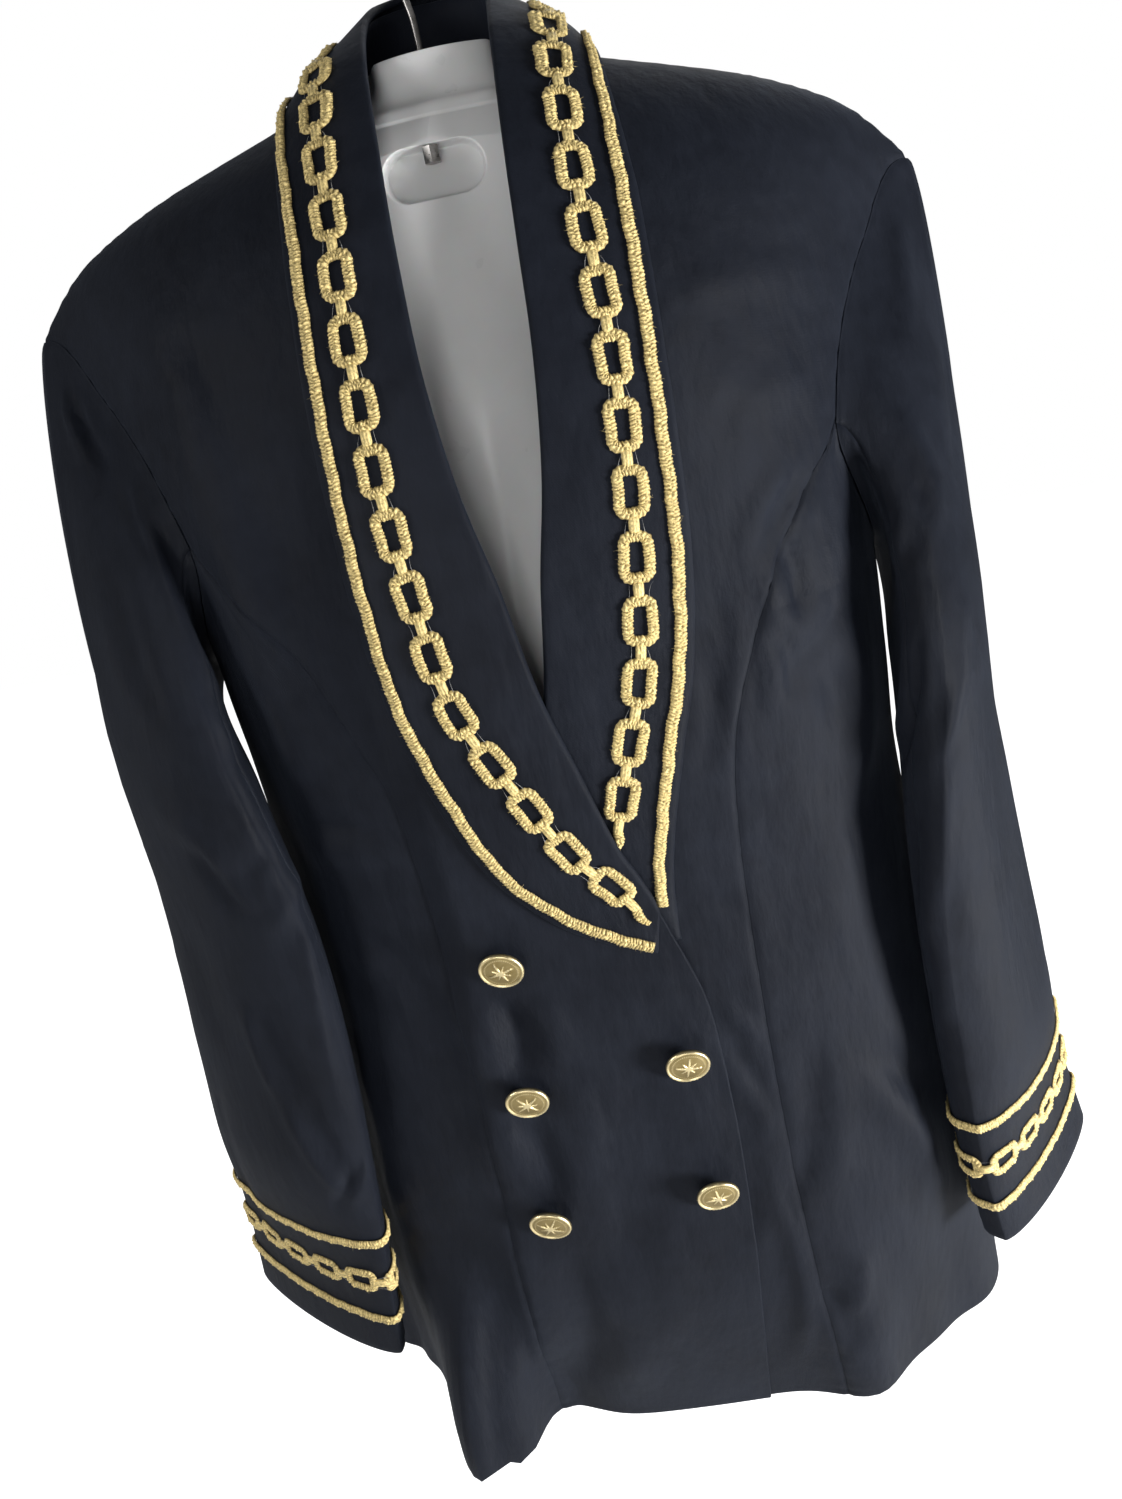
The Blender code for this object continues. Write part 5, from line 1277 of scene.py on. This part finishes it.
def add_braid(node, place, length, closed):
    """A braid along a strip of that length."""
    rows = int(length / BRAID_STEP)
    at = np.linspace(0.0, length, rows, endpoint=not closed)
    share, height, relief = band_section(at, BRAID_RISE)
    wander = (0.00025 * np.sin(at * 190) + 0.0002 * np.sin(at * 431 + 1))[:, None]
    points = place(at[:, None] + 0.0 * share, share * BRAID_WIDTH / 2 + wander, height)
    if closed:
        flat = points.reshape(-1, 3)
        quads, _ = facing_out(flat, torus_faces(*share.shape))
        band = (flat, quads, np.zeros((0, 3), int), relief.ravel())
    else:
        band = rounded(points, points[0].mean(axis=0), points[-1].mean(axis=0),
                       np.concatenate([[0.2], relief.ravel(), [0.2]]))
    beside = rng.uniform(0.002, length - 0.002, int(length / 0.009))
    return add_trim(node, [band, loose_ends(place, beside, BRAID_WIDTH / 2)])


# %% [markdown]
# On the collar the chain runs at a fixed share of the collar's width and the braid at a fixed
# distance from its outer edge. On a cuff both run round the sleeve at a fixed height over the hem.

# %% Trims of the collar
BRAID_INSET, BRAID_NARROW = 0.0070, 0.15
# station of the collar from its lower end (0) over the front's last row (9) to the centre back (14),
# share of the width at which the chain runs
CHAIN_SHARES = {
    "right": ((0, 0.35), (0.5, 0.30), (1, 0.25), (2, 0.227), (3, 0.31), (4, 0.44), (5, 0.55), (7, 0.54),
              (8, 0.52), (9, 0.50), (10, 0.46), (11, 0.38), (12, 0.38), (14, 0.42)),
    "left": ((0, 0.57), (3, 0.57), (4, 0.60), (5, 0.63), (6, 0.62), (7, 0.60), (8, 0.57), (9, 0.52),
             (10, 0.48), (11, 0.42), (12, 0.40), (14, 0.42))}
CHAIN_OFF, BRAID_OFF, CUFF_OFF = 0.0007, 0.0005, 0.0008
CHAIN_START = {"right": 0.0190, "left": 0.060}
BRAID_START = {"right": 0.0020, "left": 0.0180}
for name in ("right", "left"):
    grid, normal = collars[name]
    rows, columns = grid.shape[:2]
    width = np.linalg.norm(grid[:, -1] - grid[:, 0], axis=-1)
    row, per_column = np.arange(rows, dtype=float), width / (columns - 1)

    def collar_strip(column, start, lift):
        """A function that places points beside a line of columns, and the line's length. Rows that
        cross the line at a slant would shear a link, so a step across is divided by the sine of that
        angle, and moved back along the line by its cosine."""
        line = on_grid(grid, normal, row, column, np.zeros(rows), False)
        along = np.append(0.0, np.cumsum(np.linalg.norm(np.diff(line, axis=0), axis=-1)))
        slant = np.sum(unit(grid[:, -1] - grid[:, 0]) * unit(np.gradient(line, axis=0)), axis=-1)

        def place(distance, across, height, column=column, along=along):
            leaning = np.interp(start + distance, along, slant)
            aside = across / np.sqrt(1.0 - leaning**2)
            r = np.interp(start + distance - aside * leaning, along, row)
            c = np.interp(r, row, column) + aside / np.interp(r, row, per_column)
            return on_grid(grid, normal, r, c, height + lift, False)

        return place, along[-1] - start

    low = (len(COLLAR_FRONT) - 1) * (LEFT_SHARE if name == "left" else 0.0)
    station = np.concatenate([np.linspace(low, 9, FRONT_ROWS), np.linspace(9, 14, NECK_ROWS + 1)[1:]])
    chain_column = (columns - 1) * looked_up(np.array(CHAIN_SHARES[name], float), station)[..., 0]
    place, room = collar_strip(chain_column, CHAIN_START[name], CHAIN_OFF)
    count = int((room - 0.0006) / CHAIN_PITCH)
    add_chain(f"collar_chain_{name}", place, count, (room - 0.0006) / count, 0.0, False)
    edge_column = (columns - 1) * (1.0 - np.minimum(BRAID_INSET / width, BRAID_NARROW))
    place, room = collar_strip(edge_column, 0.0, BRAID_OFF)
    start = BRAID_START[name]
    add_braid(f"collar_braid_{name}", lambda a, c, h: place(a + start, c, h), room - start - 0.0002, False)

# %% [markdown]
# A cuff's strip is a closed line of the sleeve's grid at one height over the hem. It stands off
# the cloth a little more at the front and back creases, where the sleeve turns sharply.

# %% Trims of the cuffs
CUFF_LINKS = 11
for name, side in (("right", 1), ("left", -1)):
    grid, normal = sleeves[name]
    rows, columns = grid.shape[:2]
    hem, heights = grid[-1, :, 2].mean(), grid[:, :, 2].mean(axis=1)
    turning = np.abs(np.sin(math.tau * np.arange(columns + 1) / columns)) ** 6

    def cuff_strip(above):
        """A function that places points round the sleeve above its hem, and the way round."""
        row = np.interp(-(hem + above), -heights, np.arange(rows))
        every = np.arange(columns, dtype=float)
        line = on_grid(grid, normal, np.full(columns, row), every, np.zeros(columns), True)
        steps = np.linalg.norm(np.roll(line, -1, axis=0) - line, axis=-1)
        along = np.append(0.0, np.cumsum(steps))

        def place(distance, across, height, above=above, along=along):
            c = np.interp(np.mod(distance, along[-1]), along, np.arange(columns + 1.0))
            r = np.interp(-(hem + above + across), -heights, np.arange(rows))
            lift = CUFF_OFF * np.interp(c, np.arange(columns + 1), turning)
            return on_grid(grid, normal, r, c, height + lift, True)

        return place, along[-1]

    for part, above in (("lower", 0.0270), ("upper", 0.0850)):
        place, room = cuff_strip(above)
        add_braid(f"cuff_braid_{part}_{name}", place, room, True)
    place, room = cuff_strip(0.0560)
    add_chain(f"cuff_chain_{name}", place, CUFF_LINKS, room / CUFF_LINKS, 0.0, True)

# %% [markdown]
# ## Buttons
# A shank button is turned and cast: a shank, a flat back, a roped rim and a low dome. The dome
# carries a generic compass star in low relief. The surface is a radius and a height along the
# profile, repeated round the axis, and the relief is added to the height.

# %% Buttons
BUTTON_RADIUS, BUTTON_DROOP = 0.0115, 18.0
FACE_TOP, STAR_RISE, RING_RISE = 0.0084, 0.00060, 0.00035
# distance from the centre, height
BUTTONS = ((-0.0466, -0.3886), (-0.0508, -0.4664), (-0.0537, -0.5451), (0.0334, -0.4586), (0.0357, -0.5402))


def button_surface(turn_star):
    """Rings of the button from the middle of its face over the rim to the shank's end."""
    r = BUTTON_RADIUS
    turn = math.tau * np.arange(96) / 96
    face = np.linspace(0.02, 0.80, 26)[:, None] * r
    star = np.abs(((turn - turn_star) / (math.tau / 8)) % 1.0 - 0.5) * 2
    long_ray = np.abs(((turn - turn_star) / (math.tau / 4)) % 1.0 - 0.5) * 2
    reach = r * (0.16 + 0.34 * (star ** 3) + 0.20 * (long_ray ** 5))
    motif = smooth_step(reach - face, -0.00012, 0.00035)
    ring = np.exp(-(((face - 0.73 * r) / 0.00028) ** 2)) * (0.5 + 0.5 * np.cos(48 * turn))
    relief = np.clip(motif + 0.8 * ring, 0, 1)
    height = FACE_TOP - 0.0010 * (face / (0.8 * r)) ** 2 + STAR_RISE * motif + RING_RISE * ring
    rings = [np.stack([face * np.cos(turn), face * np.sin(turn), height], -1)]
    values = [0.05 + 0.95 * relief]
    # share of the radius, height in millimetres, share of the rim's rope, relief value
    for radius, z, rope, value in (
            (0.84, 7.15, 0.0, 0.1), (0.87, 7.35, 0.3, 0.5), (0.90, 7.75, 0.8, 0.9), (0.94, 7.85, 1.0, 1.0),
            (0.98, 7.45, 0.8, 0.9), (1.0, 6.70, 0.4, 0.7), (0.995, 6.00, 0.1, 0.5), (0.96, 5.30, 0.0, 0.4),
            (0.87, 4.70, 0.0, 0.3), (0.60, 4.50, 0.0, 0.3), (0.26, 4.40, 0.0, 0.2), (0.24, 3.60, 0.0, 0.2),
            (0.24, 1.50, 0.0, 0.2), (0.25, 0.30, 0.0, 0.2), (0.20, 0.00, 0.0, 0.1)):
        wave = 0.00016 * rope * np.cos(36 * turn + 60 * radius)
        out = radius * r + wave * 0.4
        rings.append(np.stack([out * np.cos(turn), out * np.sin(turn), z / 1000 + wave], -1)[None])
        values.append(np.clip(value + 1500 * wave, 0, 1)[None])
    return np.concatenate(rings), np.concatenate(values)


for number, (x, z) in enumerate(BUTTONS, 1):
    rings, values = button_surface(0.35 * number)
    first, last = np.array((0.0, 0.0, FACE_TOP + STAR_RISE)), np.zeros(3)
    relief = np.concatenate([[1.0], values.ravel(), [0.1]])
    points, quads, tris, relief = rounded(rings, first, last, relief)
    g = row_of(np.array(x), np.array(z))
    angle = angle_of(np.array(x), g)
    spot = lifted(angle, g, lap_lift(np.array(x), np.array(z)) + LAYER_GAP)
    normal = loft_normal(angle, g)
    heading = math.atan2(normal[1], normal[0])
    turned = Euler((0.0, math.radians(90.0 + BUTTON_DROOP), heading)).to_matrix()
    points = points @ np.array(turned).T + spot + normal * 0.0006
    node = f"button_{number}"
    make_piece(f"{node}_cast", points, quads, tris, "antique_gold", (node,), relief=relief)

# %% [markdown]
# ## The torso form and its hook
# The form is one moulded plastic shell. Its sections are ellipses with different depths in front
# and behind, read from the same table as the CAD solid but on many more rings, and across the
# shoulders it keeps inside the cloth. The stadium-shaped recess is pressed in where points lie
# inside a rounded rectangle, and the rings and columns are closest there, so its wall is crisp.

# %% The form
# height, half width, depth in front, depth behind
FORM_SECTIONS = mm([
    (-560, 146, 86, 80), (-500, 148, 90, 84), (-430, 136, 84, 74), (-370, 126, 82, 70), (-310, 136, 94, 74),
    (-250, 148, 98, 80), (-190, 144, 90, 78), (-140, 142, 80, 72), (-95, 148, 70, 64), (-60, 156, 64, 56),
    (-36, 158, 58, 50), (-19, 152, 53, 45), (-10.5, 143, 50, 41), (-3.5, 127, 47, 38), (1.5, 108, 43, 33),
    (5.5, 90, 38, 30), (8.5, 66, 31, 27), (12.5, 49, 28, 26), (20, 41, 26, 25), (30, 38, 24, 24)])
FORM_FOLLOWS, FORM_ROOM = -0.085, 0.0024
RECESS_LENGTH, RECESS_HEIGHT, RECESS_DEPTH, RECESS_Z = 0.046, 0.022, 0.009, -0.025


def inside_cloth(x, y, z):
    """Depths y of the form's points, kept between the front's cloth and the back's. The middle of
    the neck stands in the open collar and is left as it is."""
    g = row_of(np.abs(x), z + FORM_ROOM)
    angle = angle_of(np.abs(x), g)
    front = np.minimum(loft(-angle, g)[..., 1] + 3 * FORM_ROOM, SHOULDER_SEAM_Y)
    behind = np.maximum(loft(-angle, 2.0 - g)[..., 1] - 3 * FORM_ROOM, SHOULDER_SEAM_Y)
    beside_neck = np.where(z > 0.0, smooth_step(np.abs(x), 0.027, 0.035), 1.0)
    beside_neck = beside_neck + (1 - beside_neck) * (1 - smooth_step(z, -0.004, 0.012))
    return y + (np.clip(y, front, behind) - y) * beside_neck


def in_recess(x, z):
    """1 inside the stadium of the recess, 0 outside, with a narrow soft wall between."""
    long = np.maximum(np.abs(x) - (RECESS_LENGTH - RECESS_HEIGHT) / 2, 0.0)
    away = np.hypot(long, z - RECESS_Z) - RECESS_HEIGHT / 2
    return 1.0 - smooth_step(away, -0.0007, 0.0009)


even = np.linspace(0.0, len(FORM_SECTIONS) - 1.0, 110)
dense = np.interp(np.arange(-0.038, -0.012, 0.0005), FORM_SECTIONS[:, 0], np.arange(len(FORM_SECTIONS)))
places = np.unique(np.concatenate([even, dense]).round(3))
columns = np.radians(np.concatenate([np.arange(-11, 11, 0.2), np.arange(11, 349, 3.25)]))
section = smooth_table(FORM_SECTIONS, places)
z, wide, front, behind = (section[:, k:k + 1] for k in range(4))
x, z = wide * np.sin(columns), z + 0.0 * columns
y = np.where(np.cos(columns) > 0, -front, -behind) * np.cos(columns)
y = np.where(z > FORM_FOLLOWS, inside_cloth(x, y, z), y)
y = y + RECESS_DEPTH * in_recess(x, z) * (np.cos(columns) > 0)
valley = 0.0065 * np.exp(-((x / 0.013) ** 2)) - 0.0030 * np.exp(-(((np.abs(x) - 0.040) / 0.020) ** 2))
y = y + valley * smooth_step(-z, 0.100, 0.170) * (np.cos(columns) > 0)
x = x + NECK_SWAY * smooth_step(z, -0.010, 0.012)
rings = np.stack([x, y, z], -1)
lid = rings[-1].copy()
rings[-1, :, 2] -= 0.0009
for shrink, rise in ((0.992, -0.0004), (0.975, -0.0001), (0.8, 0.0)):
    middle = lid.mean(axis=0)
    rings = np.concatenate([rings, (middle + (lid - middle) * shrink + (0, 0, rise))[None]])
ends = rings[0].mean(axis=0), rings[-1].mean(axis=0)
points, quads, tris, _ = rounded(rings, *ends)
make_piece(FORM, points, quads, tris, "white_plastic", ("torso_form",))

# %% [markdown]
# The hook is one wire: a straight stem, a bend to one side and most of a circle. A tube along a
# path needs a frame at each point, and because the path stays in one plane, that plane's normal is
# one axis and the cross product with the heading is the other.

# %% The hook and its nut
WIRE_RADIUS, HOOK_RADIUS, WIRE_RINGS = 0.0016, 0.024, 110
neck_top = FORM_SECTIONS[-1, 0] + 0.0003
arc = HOOK_RADIUS + WIRE_RADIUS
path = [(0.0, neck_top), (0.0, neck_top + 0.012), (-0.001, neck_top + 0.022), (-0.005, neck_top + 0.033)]
path += [(arc * math.cos(math.radians(t)), NECK_DROP - HOOK_RADIUS + arc * math.sin(math.radians(t)))
         for t in range(205, -60, -15)]
path = smooth_table(np.array(path), np.linspace(0.0, len(path) - 1.0, WIRE_RINGS))
ahead = unit(np.gradient(path, axis=0))
side = np.stack([-ahead[:, 1], ahead[:, 0]], 1)
turn = math.tau * np.arange(16) / 16
tip = np.clip(np.linspace(0, 1, WIRE_RINGS) * 40 - 39, 0, 1)
radius = WIRE_RADIUS * np.sqrt(1 - tip**2 * 0.8)
across = radius[:, None] * np.cos(turn)
x, z = (path[:, k:k + 1] + side[:, k:k + 1] * across for k in (0, 1))
rings = np.stack([x, radius[:, None] * np.sin(turn), z], -1)
ends = [np.array((path[k, 0], 0.0, path[k, 1])) for k in (0, -1)]
points, quads, tris, _ = rounded(rings, *ends)
make_piece("hanger_hook_wire", points, quads, tris, "steel_wire", ("hanger_hook",))

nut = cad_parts["hook_nut"]
nut.data.materials.clear()
nut.data.materials.append(FINISHES["steel_wire"])

# %% [markdown]
# ## The cuts
# Each cloth piece's cut is printed: its width, length and area. The names of the trims sewn to a
# piece are gathered beside it, but not used.

for node, (piece, width, length, area, held, rests_on) in cuts.items():
    names = []
    if node.startswith("collar_"):
        name = node.split("_")[1]
        names = [f"collar_chain_{name}_plait", f"collar_braid_{name}_plait", f"collar_chain_{name}_ties"]
    elif node.startswith("sleeve_") and node.endswith("top"):
        name = node.split("_")[1]
        names = [f"cuff_chain_{name}_plait", f"cuff_chain_{name}_ties"]
        names += [f"cuff_braid_{part}_{name}_plait" for part in ("lower", "upper")]
    print(f"{node}: cut {1000 * width:.0f} x {1000 * length:.0f} mm, {area:.4f} m2")

# %% [markdown]
# ## Floor, light and camera
# A wide pale floor far under the hem, an even world and four large lamps give soft light with no
# hard shadow. Floor and world look white to the camera and give less light than that, so a white
# form keeps its shading.

# %% Stage
HALF_FLOOR, FLOOR_Z = 6.0, -1.45
WORLD_LIGHT = 0.12                 # strength of the world for all but the camera


def camera_glow(tree, strength, socket):
    """Gives a strength socket 1 for the camera's rays and the given strength for all others."""
    seen = tree.nodes.new("ShaderNodeLightPath").outputs["Is Camera Ray"]
    tree.links.new(between(tree, seen, strength, 1.0), socket)


tree, shader = new_material(
    "pale_floor", (0.93, 0.93, 0.93), 0.9, Emission_Color=(1.0, 1.0, 1.0, 1.0))
camera_glow(tree, 0.0, shader.inputs["Emission Strength"])
mesh = bpy.data.meshes.new("floor")
corners = ((-1, -1), (1, -1), (1, 1), (-1, 1))
mesh.from_pydata([(x * HALF_FLOOR, y * HALF_FLOOR, FLOOR_Z) for x, y in corners], [], [(0, 1, 2, 3)])
mesh.materials.append(FINISHES["pale_floor"])
floor = bpy.data.objects.new("floor", mesh)
bpy.context.collection.objects.link(floor)

world = bpy.data.worlds.new("studio")
bpy.context.scene.world = world
world.use_nodes = True
background = world.node_tree.nodes["Background"]
background.inputs["Color"].default_value = (1.0, 1.0, 1.0, 1.0)
camera_glow(world.node_tree, WORLD_LIGHT, background.inputs["Strength"])
bpy.context.scene.view_settings.view_transform = "Standard"
print("stage:", floor.name, "and", world.name)

# %% [markdown]
# The key stands low at the viewer's right and grazes the cloth, so its folds and creases show. The
# others fill from the left, the front and behind. All of them face LAMP_AIM, in the jacket's middle.

# %% Lamps
LAMP_AIM = (0.0, 0.0, -0.45)


def stand(holder, right, up, back, spot):
    """Puts an object at a spot, with those three axes for its own, and into the scene."""
    axes = zip(np.stack([right, up, back], 1).tolist(), spot)
    holder.matrix_world = Matrix([(*row, at) for row, at in axes] + [(0, 0, 0, 1)])
    bpy.context.collection.objects.link(holder)


# name, place, size, power
LAMPS = (("key", (1.6, -0.95, -0.75), 0.55, 54.0), ("left", (-1.8, -0.9, 0.1), 0.6, 13.0),
         ("front", (-0.3, -2.2, -0.5), 0.9, 11.0), ("back", (0.3, 1.9, 0.9), 1.6, 9.0))
for name, spot, size, power in LAMPS:
    lamp = bpy.data.lights.new(name, "AREA")
    lamp.size, lamp.energy = size, power
    back = unit(np.array(spot) - LAMP_AIM)
    right = unit(np.cross((0.0, 0.0, 1.0), back))
    stand(bpy.data.objects.new(name, lamp), right, np.cross(back, right), back, spot)
print("lamps:", [lamp[0] for lamp in LAMPS])

# %% [markdown]
# The camera looks down at the jacket, tilted as a hand-held one is. Its heading is made from the
# sines and cosines of pitch and yaw, and its other two axes are turned about that by the roll.

# %% Camera
PITCH, YAW, ROLL = (math.radians(v) for v in (18.3, -4.9, -11.6))
CAMERA_SPOT, FOCAL_PIXELS, IMAGE_WIDTH, FILM = (0.053, -0.631, -0.234), 1161.0, 1122.0, 36.0
forward = np.array((math.sin(YAW) * math.cos(PITCH), math.cos(YAW) * math.cos(PITCH), -math.sin(PITCH)))
level = np.array((math.cos(YAW), -math.sin(YAW), 0.0))
upright = np.cross(level, forward)
right = math.cos(ROLL) * level + math.sin(ROLL) * upright
up = -math.sin(ROLL) * level + math.cos(ROLL) * upright
camera = bpy.data.objects.new("camera", bpy.data.cameras.new("camera"))
camera.data.sensor_fit, camera.data.sensor_width = "HORIZONTAL", FILM
camera.data.lens = FILM * FOCAL_PIXELS / IMAGE_WIDTH
camera.data.clip_start = 0.02
stand(camera, right, up, -forward, CAMERA_SPOT)
bpy.context.scene.camera = camera
print(f"camera lens: {camera.data.lens:.1f} mm")
